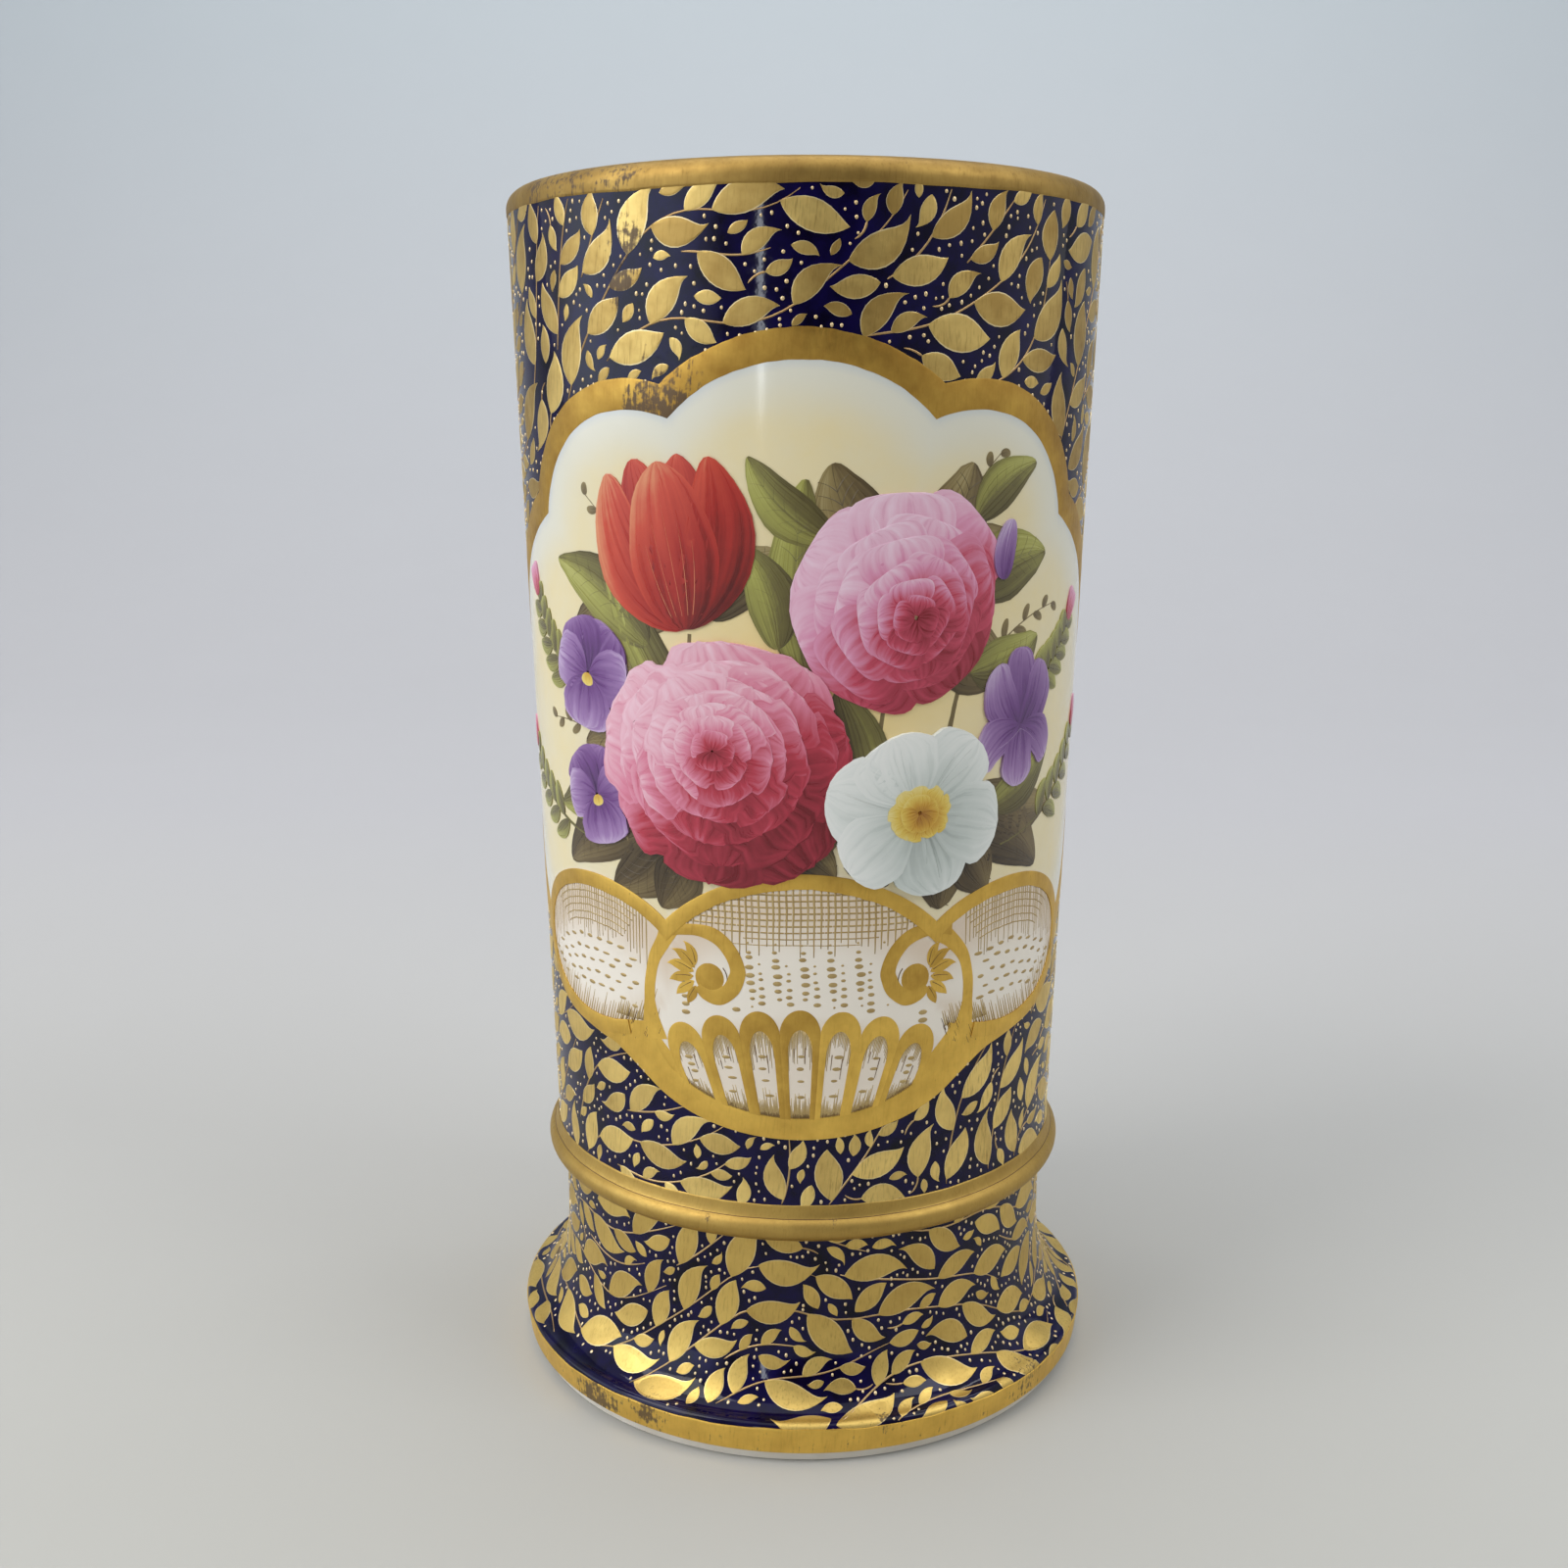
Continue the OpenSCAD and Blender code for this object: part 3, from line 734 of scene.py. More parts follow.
@dataclass(frozen=True)
class Gilding(Coat):
    """Burnished gilding: clouded gold with upright scratches, brown where it is pitted or the mesh is rubbed.

    The share of gold over shade falls from low down the vase to high up on it, as painted light low down and
    painted shade high up. A pale colour outlines leaves as a painted edge highlight, partly thicker gold.
    """

    gold: Colour
    shade: Colour
    # Colour of the painted highlight along leaf edges, partly their thicker gold.
    pale: Colour | None = None
    worn: Colour = (0.075, 0.042, 0.02)
    wear: float = 0.22
    rough: float = 0.40
    metal: float = 1.0
    low: float = 0.22
    high: float = -0.36
    scratch: float = 0.16
    slot = Slot.GILDING

    def dress(self, graph: Graph) -> None:
        """Lays out the gilding's nodes.

        Args:
            graph: the material's graph.
        """
        cloud, pits = mottle(graph, 3.0, 1.6), mottle(graph, 0.8, 2.6)
        marks, grain = SCUFFS.place(graph)
        # Painted light and shade by height: the gold is lighter low down the vase and darker high up.
        height = graph.range(graph.parts(graph.millimetres())[2], 25.0, 115.0, self.low, self.high)
        tint = graph.scaled(graph.attribute("seed"), 0.5, graph.times(cloud, 0.6))
        colour = graph.blend(graph.maths("ADD", tint, height), self.shade, self.gold)
        # Scratches darken the gold: real burnishing marks, whose darker colour is partly painted shade for
        # the light they reflect away.
        keen = graph.range(mottle(graph, 9.0, 1.8), 0.35, 0.75, 0.3 * self.scratch, self.scratch)
        colour = graph.blend(graph.times(marks, keen), colour, tuple(0.6 * c for c in self.shade))
        if self.pale:
            # Painted highlight along the leaf edges, partly the thicker gold there.
            colour = graph.blend(graph.times(EDGE_HIGHLIGHT.place(graph)[0], 0.75), colour, self.pale)
        bare = graph.scaled(graph.attribute("rubbed"), -0.62, 1.0 - self.wear)
        ground = graph.scaled(pits, 0.6, graph.times(grain, 0.4))
        ground = graph.times(ground, graph.range(cloud, 0.0, 1.0, 0.6, 1.05))
        gone = graph.range(ground, bare, graph.maths("ADD", bare, 0.2), 0.0, 0.9)
        graph.coat({"Base Color": graph.blend(gone, colour, self.worn),
                    "Metallic": graph.range(gone, 0.0, 1.0, self.metal, 0.2),
                    "Roughness": graph.scaled(marks, 0.08, graph.scaled(pits, 0.10, self.rough))},
                   graph.scaled(marks, 0.4, pits), 0.004)


@dataclass(frozen=True)
class Glaze(Coat):
    """A glossy fired glaze: two colours that pool in clouds, a faint waviness and rare dull specks."""

    slot: Slot
    thick: Colour
    thin: Colour
    size: float
    contrast: float
    rough: float
    wave: float
    gloss: float = 0.5

    def dress(self, graph: Graph) -> None:
        """Lays out the glaze's nodes.

        Args:
            graph: the material's graph.
        """
        pool = mottle(graph, self.size, self.contrast)
        specks = graph.range(mottle(graph, 0.6, 2.2), 0.6, 1.0, self.rough, self.rough + 0.12)
        graph.coat({"Base Color": graph.blend(pool, self.thick, self.thin), "Roughness": specks,
                    "Specular IOR Level": self.gloss}, pool, self.wave)


@dataclass(frozen=True)
class Reserve(Coat):
    """The panel's ground: white glaze with cream, a brown wash and a blue edge where the mesh has them."""

    white: Colour = (0.68, 0.66, 0.56)
    warm: Colour = (0.76, 0.70, 0.61)
    cream: Colour = (0.73, 0.61, 0.33)
    glow: Colour = (0.74, 0.53, 0.17)
    blush: Colour = (0.60, 0.46, 0.33)
    bleed: Colour = (0.50, 0.54, 0.58)
    rough: float = 0.09
    slot = Slot.CREAM_ENAMEL

    def dress(self, graph: Graph) -> None:
        """Lays out the ground's nodes.

        Args:
            graph: the material's graph.
        """
        cloud, wash = mottle(graph, 7.0, 1.2), mottle(graph, 1.6, 0.8)
        laid = graph.times(graph.attribute("cream"), graph.range(cloud, 0.2, 0.8, 0.55, 1.0))
        laid = graph.times(laid, graph.range(wash, 0.2, 0.8, 0.85, 1.0))
        colour = graph.blend(graph.attribute("basket"), self.white, self.warm)
        colour = graph.blend(laid, colour, self.cream)
        tints = (("glow", 0.75, self.glow), ("wash", 0.7, self.blush), ("bleed", 0.6, self.bleed))
        for name, share, tint in tints:
            colour = graph.blend(graph.times(graph.attribute(name), share), colour, tint)
        rough = graph.range(wash, 0.3, 0.9, self.rough, self.rough + 0.08)
        graph.coat({"Base Color": colour, "Roughness": rough}, cloud, 0.02)


@dataclass(frozen=True)
class Enamel(Coat):
    """Painted enamel in four shades from deep to bright, chosen by the mesh's tone and by streaks."""

    deep: Colour
    rich: Colour
    light: Colour
    bright: Colour
    lines: float = 13.0
    strength: float = 0.20
    rough: float = 0.24
    slot = Slot.CREAM_ENAMEL

    def dress(self, graph: Graph) -> None:
        """Lays out the enamel's nodes.

        Args:
            graph: the material's graph.
        """
        streak = STREAKS.place(graph, self.lines)[0]
        tone = graph.scaled(graph.maths("SUBTRACT", streak, 0.5), self.strength, graph.attribute("tone"))
        tone = graph.scaled(graph.maths("SUBTRACT", mottle(graph, 1.4, 1.2), 0.5), 0.12, tone)
        ramp = graph.add("ValToRGB", {0: tone})
        stops = ramp.color_ramp.elements
        stops[0].position, stops[1].position = 0.05, 0.95
        stops[0].color, stops[1].color = (*self.deep, 1), (*self.bright, 1)
        stops.new(0.34).color = (*self.rich, 1)
        stops.new(0.66).color = (*self.light, 1)
        rough = graph.range(streak, 0.0, 1.0, self.rough, self.rough + 0.14)
        graph.coat({"Base Color": ramp.outputs[0], "Roughness": rough}, streak, 0.003)


class Fired(Enum):
    """Porcelain, glazes and the panel's ground."""

    BARE = Glaze("bare_porcelain", Slot.PORCELAIN, (0.80, 0.76, 0.68), (0.60, 0.53, 0.43),
                 5.0, 1.3, 0.55, 0.03)
    CLEAR = Glaze("clear_glaze", Slot.CLEAR_GLAZE, (0.84, 0.83, 0.79), (0.79, 0.785, 0.75),
                  14.0, 1.4, 0.06, 0.03)
    COBALT = Glaze("cobalt_glaze", Slot.COBALT_GLAZE, (0.0011, 0.0002, 0.0034), (0.0044, 0.0022, 0.043),
                   3.4, 2.6, 0.06, 0.008, 0.22)
    RESERVE = Reserve("reserve_ground")


class Gilt(Enum):
    """Kinds of gilding."""

    BAND = Gilding("gilding_band", (0.85, 0.56, 0.12), (0.38, 0.21, 0.042), high=-0.52)
    # The lip's gold is darker and browner: partly its heavier wear, partly painted shade for the dark it
    # reflects.
    LIP = Gilding("gilding_lip", (0.51, 0.335, 0.095), (0.16, 0.088, 0.024),
                  wear=0.27, rough=0.46, low=0, high=-0.12)
    BEAD = Gilding("gilding_bead", (0.52, 0.35, 0.097), (0.33, 0.20, 0.053),
                   wear=0.24, rough=0.46, low=0, high=0)
    LEAF = Gilding("gilding_leaf", (0.87, 0.65, 0.23), (0.41, 0.265, 0.08), (0.95, 0.82, 0.52),
                   rough=0.42, high=-0.30, scratch=0.55)
    # The foot leaves get a darker copy of the leaf gold: painted shade that tones down their highlights.
    FOOT_LEAF = Gilding("gilding_foot_leaf", (0.70, 0.50, 0.15), (0.41, 0.26, 0.07), (0.88, 0.74, 0.44),
                        rough=0.44, scratch=0.4)
    STEM = Gilding("gilding_stem", (0.56, 0.39, 0.19), (0.40, 0.25, 0.11))
    DOT = Gilding("gilding_dot", (0.84, 0.68, 0.42), (0.70, 0.52, 0.28), wear=0.1)
    THIN = Gilding("gilding_thin", (0.48, 0.35, 0.15), (0.36, 0.24, 0.09), wear=0.1, metal=0.55)
    LINES = Gilding("gilding_lines", (0.16, 0.085, 0.025), (0.08, 0.04, 0.015), metal=0.4)


class Paint(Enum):
    """Enamel colours of the bouquet."""

    PINK = Enamel("enamel_pink", (0.14, 0.003, 0.010), (0.41, 0.032, 0.058), (0.62, 0.20, 0.29),
                  (0.75, 0.48, 0.55))
    ROSE = Enamel("enamel_rose", (0.19, 0.005, 0.014), (0.48, 0.055, 0.10), (0.65, 0.27, 0.41),
                  (0.77, 0.55, 0.65))
    WHITE = Enamel("enamel_white", (0.27, 0.30, 0.28), (0.49, 0.53, 0.50), (0.67, 0.69, 0.66),
                   (0.78, 0.78, 0.75))
    YELLOW = Enamel("enamel_yellow", (0.26, 0.09, 0.01), (0.52, 0.28, 0.03), (0.66, 0.48, 0.09),
                    (0.73, 0.62, 0.26))
    RED = Enamel("enamel_red", (0.08, 0.003, 0.003), (0.33, 0.012, 0.006), (0.51, 0.052, 0.022),
                 (0.66, 0.28, 0.13))
    PURPLE = Enamel("enamel_purple", (0.035, 0.008, 0.06), (0.13, 0.042, 0.19), (0.28, 0.155, 0.35),
                    (0.55, 0.43, 0.60))
    GREEN = Enamel("enamel_green", (0.045, 0.03, 0.01), (0.13, 0.11, 0.03), (0.32, 0.31, 0.07),
                   (0.52, 0.50, 0.18), 24.0)
    BROWN = Enamel("enamel_brown", (0.03, 0.018, 0.008), (0.11, 0.075, 0.03), (0.24, 0.18, 0.07),
                   (0.42, 0.35, 0.17), 24.0)


RUBBED_PLACES = np.array([
    [-26.2, -17.4, 126.2, 3.4, 0.7], [-21.4, -23.0, 126.6, 3.2, 0.65], [-16.6, -26.8, 126.8, 2.8, 0.6],
    [-12.2, -27.6, 106.0, 4.2, 1.0], [-14.6, -26.4, 103.8, 2.6, 1.0], [-17.0, -26.0, 116.5, 2.6, 1.0],
    [-15.2, -26.6, 120.5, 2.2, 0.9], [-22.0, -24.4, 2.5, 3.0, 0.8], [-16.0, -28.6, 3.5, 2.0, 0.8],
    [9.0, -31.4, 4.6, 1.6, 0.7], [24.0, -21.0, 4.0, 2.5, 0.6], [4.0, -29.2, 26.0, 1.2, 0.7],
    [-9.6, -27.8, 24.9, 1.0, 0.6], [-8.0, 30.0, 124.0, 4.0, 0.7], [20.0, 26.0, 3.0, 4.0, 0.8]])


def rubbing(points: Array) -> Array:
    """How far gilding is rubbed off: a bell round each rubbed place, and a little along the edge of the foot.

    Args:
        points: points of a gilt piece.

    Returns:
        A number from 0 to 1 for each point.
    """
    place, reach, strength = RUBBED_PLACES[:, :3], RUBBED_PLACES[:, 3], RUBBED_PLACES[:, 4]
    away = np.linalg.norm(points[:, None] - place[None], axis=2) / reach
    spots = (np.exp(-away ** 2) * strength).sum(1)
    return np.clip(spots + 0.25 * smooth_step(5.5, 2.5, points[:, 2]), 0, 1)


@dataclass(frozen=True)
class Lobe:
    """An ellipse of the compass-drawn panel: its centre and half axes."""

    x: float
    y: float
    a: float
    b: float

    def grown(self, by: float) -> "Lobe":
        """The lobe made larger all round."""
        return replace(self, a=self.a + by, b=self.b + by)

    def mirrored(self) -> "Lobe":
        """The lobe on the other side of the middle."""
        return replace(self, x=-self.x)

    def arc(self, start: float, end: float, count: int) -> Array:
        """Points from start to end degrees."""
        return arc((self.x, self.y), self.a, self.b, start, end, count)

    def depth(self, flat: Array) -> Array:
        """About how far points lie inside the outline, negative outside."""
        reach = np.hypot((flat[..., 0] - self.x) / self.a, (flat[..., 1] - self.y) / self.b)
        return (1 - reach) * min(self.a, self.b)

    def entry(self, other: "Lobe", outside: float, inside: float) -> float:
        """Angle at which this outline enters another lobe, found by halving.

        Args:
            other: the other lobe.
            outside: an angle whose point lies outside it.
            inside: an angle whose point lies inside it.

        Returns:
            The angle in degrees.
        """
        for _ in range(40):
            middle = (outside + inside) / 2
            if other.depth(self.arc(middle, middle, 1))[0] > 0:
                inside = middle
            else:
                outside = middle
        return outside

    def angle_of(self, point: Array) -> float:
        """Angle of a point of the outline."""
        return float(np.degrees(np.arctan2((point[1] - self.y) / self.b, (point[0] - self.x) / self.a)))

    def span(self, x: Array) -> tuple[Array, Array]:
        """Lowest and highest y at each x, without numbers where the lobe has none.

        Args:
            x: places across the panel.

        Returns:
            The lowest y and the highest.
        """
        inside = 1 - ((x - self.x) / self.a) ** 2
        half = self.b * np.sqrt(np.where(inside > 0, inside, np.nan))
        return self.y - half, self.y + half


def both_sides(*stretches: Array) -> Array:
    """A line from left to right over the middle, given the stretches of its right half from the middle."""
    half = np.concatenate(stretches)
    return np.concatenate([half[:0:-1] * Side.LEFT.flip, half])


@dataclass
class PanelPlan:
    """Compass plan of the panel and its basket, in the flat pattern of the wall."""

    mid: Lobe = Lobe(0.0, 92.5, 17.0, 17.0)
    shoulder: Lobe = Lobe(17.0, 92.4, 12.7, 12.7)
    flank: Lobe = Lobe(18.1, 71.1, 26.4, 26.4)
    side: Lobe = Lobe(24.0, 49.8, 12.6, 8.6)
    rim_mid: Lobe = Lobe(0.0, 40.7, 20.2, 20.2)
    bowl: Lobe = Lobe(0.0, 44.0, 20.5, 11.3)
    bowl_inside: Lobe = Lobe(0.0, 44.0, 16.1, 8.9)
    frame_w: float = 2.8
    line_w: float = 1.6
    gap: float = 0.25
    steps: int = 48

    def upper(self) -> list[Lobe]:
        """Lobes of the reserve above the basket."""
        return [self.mid, self.shoulder, self.shoulder.mirrored(), self.flank, self.flank.mirrored()]

    def basket(self) -> list[Lobe]:
        """Lobes of the basket."""
        return [self.rim_mid, self.side, self.side.mirrored(), self.bowl]

    def depth(self, flat: Array, lobes: Sequence[Lobe]) -> Array:
        """About how far points lie inside the union of lobes."""
        return np.max([lobe.depth(flat) for lobe in lobes], axis=0)

    def lobed_edge(self, out: float) -> Array:
        """Outline of the reserve, from the left flank over the crown to the right flank.

        Args:
            out: how far the outline is grown.

        Returns:
            The outline's points.
        """
        m, s, f = self.mid.grown(out), self.shoulder.grown(out), self.flank.grown(out)
        at_mid, at_flank = s.entry(m, 90, 180), f.entry(s, 0, 90)
        high, low = s.arc(at_mid, at_mid, 1)[0], f.arc(at_flank, at_flank, 1)[0]
        foot = f.entry(self.side.grown(self.gap), 0, -60)
        return both_sides(m.arc(90, m.angle_of(high), self.steps),
                          s.arc(at_mid, s.angle_of(low), self.steps)[1:],
                          f.arc(at_flank, foot, 2 * self.steps)[1:])

    def rim_edge(self, inset: float) -> Array:
        """Outline of the basket's rim, from the bowl's left horn over the crown to its right one.

        Args:
            inset: how far the outline is drawn in.

        Returns:
            The outline's points.
        """
        m, s = self.rim_mid.grown(-inset), self.side.grown(-inset)
        at_mid, at_bowl = s.entry(m, 90, 180), s.entry(self.bowl.grown(-1.0), 0, -150)
        cusp = s.arc(at_mid, at_mid, 1)[0]
        return both_sides(m.arc(90, m.angle_of(cusp), self.steps), s.arc(at_mid, at_bowl, 2 * self.steps)[1:])


@dataclass
class Vessel:
    """The turned porcelain with its fired coats: clear glaze inside and under, blue ground outside."""

    skin: Skin
    base_bevel: float = 0.3
    ring_w: float = 3.6
    neck_t: float = 3.6
    ceiling_round: float = 1.2
    segments: int = 288

    def build(self) -> None:
        """Makes the coats and the bare foot, and dresses the porcelain that they cover."""
        self._ground()
        self._lining()
        self._foot()
        for node in ("body_cylinder", "luting_slip"):
            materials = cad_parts[node].data.materials
            materials.clear()
            materials.append(Fired.BARE.value.material())

    def _turn(self, name: str, section: Sequence[Array], coat: Fired, node: str) -> None:
        """Makes a turned piece of the stretches of its section, in the place of a CAD node."""
        turned(np.concatenate(section), self.segments).piece(name, coat, [node], 35)

    def _ground(self) -> None:
        """Blue ground of wall and foot: the glazed line up, and the porcelain's line back down."""
        outer, inner, first = self.skin.line, self.skin.offset(self.skin.coat), self.skin.first
        crown = first["lip"] + self.skin.steps
        sheets = (("blue_ground_foot", first["bare"], first["wall"], "cobalt_ground_foot"),
                  ("blue_ground_wall", first["wall"] - 1, crown, "cobalt_ground_wall"))
        for name, low, high, node in sheets:
            self._turn(name, [outer[low:high], inner[low:high][::-1]], Fired.COBALT, node)

    def _lining(self) -> None:
        """Glaze of the well: the porcelain's line from the floor to the lip, and the glazed line back."""
        crown = self.skin.first["lip"] + self.skin.steps - 1
        outer = self.skin.offset(self.skin.coat)[crown:][::-1]
        outer[0] = [0, self.skin.floor_z - self.skin.coat]
        self._turn("well_lining", [outer, self.skin.line[crown:]], Fired.CLEAR, "lining_glaze")

    def _foot(self) -> None:
        """Hollow foot: the bare ring and wall, and the glaze of the hollow under the floor."""
        skin, coat = self.skin, self.skin.coat
        inner = skin.offset(coat)
        base_r = inner[0, 0] - self.base_bevel
        ring_r = base_r - self.ring_w
        hollow_r = skin.neck_r - 2 * coat - self.neck_t
        foot_h = node_reach("luting_slip")[1]
        hollow = arc((ring_r - coat, skin.flare_z), ring_r - coat - hollow_r, skin.flare_z - skin.bare_h,
                     270, 180, 2 * skin.steps)
        shell = np.concatenate([hollow, [[hollow_r, foot_h]]]) + [coat, 0]
        outside = inner[:skin.first["ridge"]]
        outside = outside[outside[:, 1] < foot_h]
        ring = [[ring_r, 0.15], [ring_r + 0.3, 0], [base_r - 0.15, 0], [base_r, 0.12]]
        foot_lines = [ring, outside, [[skin.neck_r - coat, foot_h]], shell[::-1]]
        self._turn("foot", foot_lines, Fired.BARE, "spreading_foot")
        top, turn_in = skin.seat_z, self.ceiling_round
        corner = (hollow_r - turn_in, top - coat - turn_in)
        ceiling = [[hollow_r - turn_in, top - coat], [0, top - coat]]
        section = np.concatenate([[[0, top], [hollow_r + coat, top]], shell[:-1][::-1], hollow,
                                  arc(corner, turn_in, turn_in, 0, 90, 8)[:-1], ceiling])
        self._turn("hollow_lining", [section[::-1]], Fired.CLEAR, "hollow_glaze")


@dataclass
class GiltBands:
    """Gilding of the lip, the bead and the edge of the foot, with edges drawn by hand on a wheel."""

    skin: Skin
    rim_band_h: float = 2.4
    cove_share: float = 0.36
    foot_band_h: float = 2.75
    lift: float = 0.10
    crease_shade_w: float = 0.10
    segments: int = 288

    def __post_init__(self) -> None:
        """Finds where the bead's gilding ends on the cove."""
        start = self.skin.start
        self.cove_high = start["cove"] + self.cove_share * (start["wall"] - start["cove"])

    def build(self) -> None:
        """Makes the gilt bands of lip, bead and foot, and the dark line of painted shade in the bead's
        crease.
        """
        start = self.skin.start
        lip_low = start["lip"] - (self.rim_band_h - self.skin.lip_t / 2)
        bands = (("lip_gilding", lip_low, start["well"] + 0.2, 0.14, Gilt.LIP, "rim_gilding", 30),
                 ("bead_gilt", start["ridge"] - 0.1, self.cove_high, 0.08, Gilt.BEAD, "bead_gilding", 36),
                 ("foot_gilt", 0.0, self.foot_band_h, 0.2, Gilt.BAND, "foot_gilding", 30))
        girdle = Field(self.skin, self.skin.lip_r)
        x = np.linspace(0, 2 * np.pi * girdle.girth, self.segments, endpoint=False)
        share = np.arange(self.segments) / self.segments
        for seed, (name, low, high, shake, gilt, node, count) in enumerate(bands):
            upper = np.stack([x, high + tremor(share, shake, seed, (3, 11, 29, 53))], -1)
            lower = np.stack([x, low + tremor(share, shake * (name != "foot_gilt"), seed + 10)], -1)
            across = np.concatenate([[0, 0.015], np.linspace(0.03, 0.97, count), [0.985, 1]])
            heights = self.lift * np.minimum(1, 0.3 + np.minimum(across, 1 - across) * 40)
            band = slabs(girdle, upper[None], lower[None], heights, across=across, loop=True)
            band.piece(name, gilt, [node], 40)
        # A dark strip of painted shade along the crease between the bead's ridge and the cove.
        low = np.stack([x, start["cove"] + 0.1 + tremor(share, 0.05, 20, (5, 17, 41, 83))], -1)[None]
        crease = slabs(girdle, low + [0, self.crease_shade_w], low, self.lift + 0.02, across=NARROW, loop=True)
        crease.piece("bead_crease", Gilt.LINES)


@dataclass
class GiltGround:
    """Gilt leaves on winding stems, with dots between them, over one field of the blue ground.

    The stems follow a smooth field of headings at an even distance. Leaves stand on them by turns to the left
    and the right where the ground is free, further leaves fill the gaps, and dots go where no leaf fits.
    Ground is free or taken cell by cell. A leaf is a row of six numbers: stalk x and y, heading, length,
    width and bend.
    """

    name: str
    ground: Field
    leaf: Gilt
    closed: Callable[[Array], Array]
    low: float
    high: float
    leaf_l: float
    leaf_w: float
    row_gap: float
    heading: float
    sway: float
    seed: int
    gap: float = 0.15
    low_size: float = 1.0
    leaf_rows: int = 13
    leaf_cols: int = 5
    cell: float = 0.15
    stem_w: float = 0.21
    stem_step: float = 0.5
    stem_rows: int = 30
    stalk_l: float = 1.8
    dot_r: float = 0.21
    dot_gap: float = 0.58
    lift: float = 0.045
    over: float = 1.0

    def __post_init__(self) -> None:
        """Lays out the stems, leaves and dots."""
        self.rng = np.random.default_rng(self.seed)
        self.width = 2 * np.pi * self.ground.girth
        self.shape = (round((self.high - self.low) / self.cell), round(self.width / self.cell))
        rows, cols = np.meshgrid(*[np.arange(n) for n in self.shape], indexing="ij")
        self.taken = self.closed(np.stack([(cols + 0.5) * self.cell - self.width / 2,
                                           self.low + (rows + 0.5) * self.cell], -1))
        self.stem_at = np.zeros(self.shape, int)
        self.phases = self.rng.uniform(0, 2 * np.pi, 4)
        self.leaves: list[Array] = []
        self.stems = self._lay_stems()
        for number, path in enumerate(self.stems, 1):
            self._leaf_stem(path, number)
        self.stalks = self._fill_gaps()
        self.dots = self._scatter_dots()

    def _cells(self, flat: Array) -> tuple[Array, Array]:
        """Rows and columns of the cells that points fall in, round the girth."""
        row, col = [np.floor((flat[..., n] - at) / self.cell).astype(int)
                    for n, at in ((1, self.low), (0, -self.width / 2))]
        return row, col % self.shape[1]

    def _mark(self, cells: Array, flat: Array) -> None:
        """Marks the cells under points of the field.

        Args:
            cells: the marks.
            flat: the points.
        """
        row, col = self._cells(flat)
        inside = (row >= 0) & (row < self.shape[0])
        cells[row[inside], col[inside]] = True

    def _free(self, flat: Array, margin: float = 0.0, own_stem: int = 0) -> Array:
        """Which shapes lie wholly on free ground or their own stem, at most margin past the field's ends.

        Args:
            flat: points of the shapes, shapes x any number of points x 2.
            margin: how far a shape may reach past the field's ends.
            own_stem: number of the stem that the shapes may touch.

        Returns:
            A truth value for each shape.
        """
        inside = (flat[..., 1] > self.low - margin) & (flat[..., 1] < self.high + margin)
        row, col = self._cells(flat)
        row = np.clip(row, 0, self.shape[0] - 1)
        stem = self.stem_at[row, col]
        open_here = inside & ~self.taken[row, col] & ((stem == 0) | (stem == own_stem))
        return open_here.reshape(len(flat), -1).all(1)

    def _heading_at(self, x: Array, y: Array) -> Array:
        """Heading of a stem: the main one with slow waves round the girth and up the vase.

        Args:
            x: places round the girth.
            y: places up the vase.

        Returns:
            Headings in radians.
        """
        turn, rise = x / self.ground.girth, y / self.row_gap
        a, b, c, d = self.phases
        waves = np.sin(3 * turn + 0.35 * rise + a) + 0.7 * np.sin(7 * turn - 0.6 * rise + b)
        waves = waves + 0.5 * np.sin(0.9 * rise + c) + 0.3 * np.sin(13 * turn + d)
        return np.radians(self.heading + self.sway * waves)

    def _trail(self, spot: Array, way: int, near: Array, longest: int = 110) -> list[Array]:
        """One half of a stem, which follows the headings until it comes near another stem or the field's end.

        Args:
            spot: where it starts.
            way: 1 along the headings, or -1 against them.
            near: marks of the cells near stems and closed ground.
            longest: most steps.

        Returns:
            The half's points.
        """
        trail = []
        for _ in range(longest):
            row, col = self._cells(spot)
            if not 0 <= row < self.shape[0] or near[row, col]:
                break
            trail.append(spot)
            turn = self._heading_at(*spot)
            spot = spot + way * self.stem_step * pointing(turn)
        return trail

    def _lay_stems(self, tries: int = 700) -> list[Array]:
        """Stems that run both ways from free places, each at least half the row gap from the others.

        Args:
            tries: number of places to start from.

        Returns:
            The stems' paths.
        """
        near = self.taken.copy()
        steps = np.arange(-self.row_gap, self.row_gap, self.cell)
        reach = np.stack(np.meshgrid(steps, steps), -1).reshape(-1, 2)
        reach = reach[np.hypot(reach[:, 0], reach[:, 1]) < self.row_gap * 0.5]
        stems: list[Array] = []
        for _ in range(tries):
            seat = np.array([self.rng.uniform(-0.5, 0.5) * self.width, self.rng.uniform(self.low, self.high)])
            back, ahead = [self._trail(seat, way, near) for way in (-1, 1)]
            path = np.array(back[::-1] + ahead[1:])
            if len(path) * self.stem_step >= self.leaf_l:
                stems.append(path)
                for spot in path[::2]:
                    self._mark(near, spot + reach)
        brush = np.array([[0, 0], [1, 0], [-1, 0], [0, 1], [0, -1]]) * self.stem_w / 2
        for number, path in enumerate(stems, 1):
            row, col = self._cells((path[:, None] + brush).reshape(-1, 2))
            self.stem_at[np.clip(row, 0, self.shape[0] - 1), col] = number
        return stems

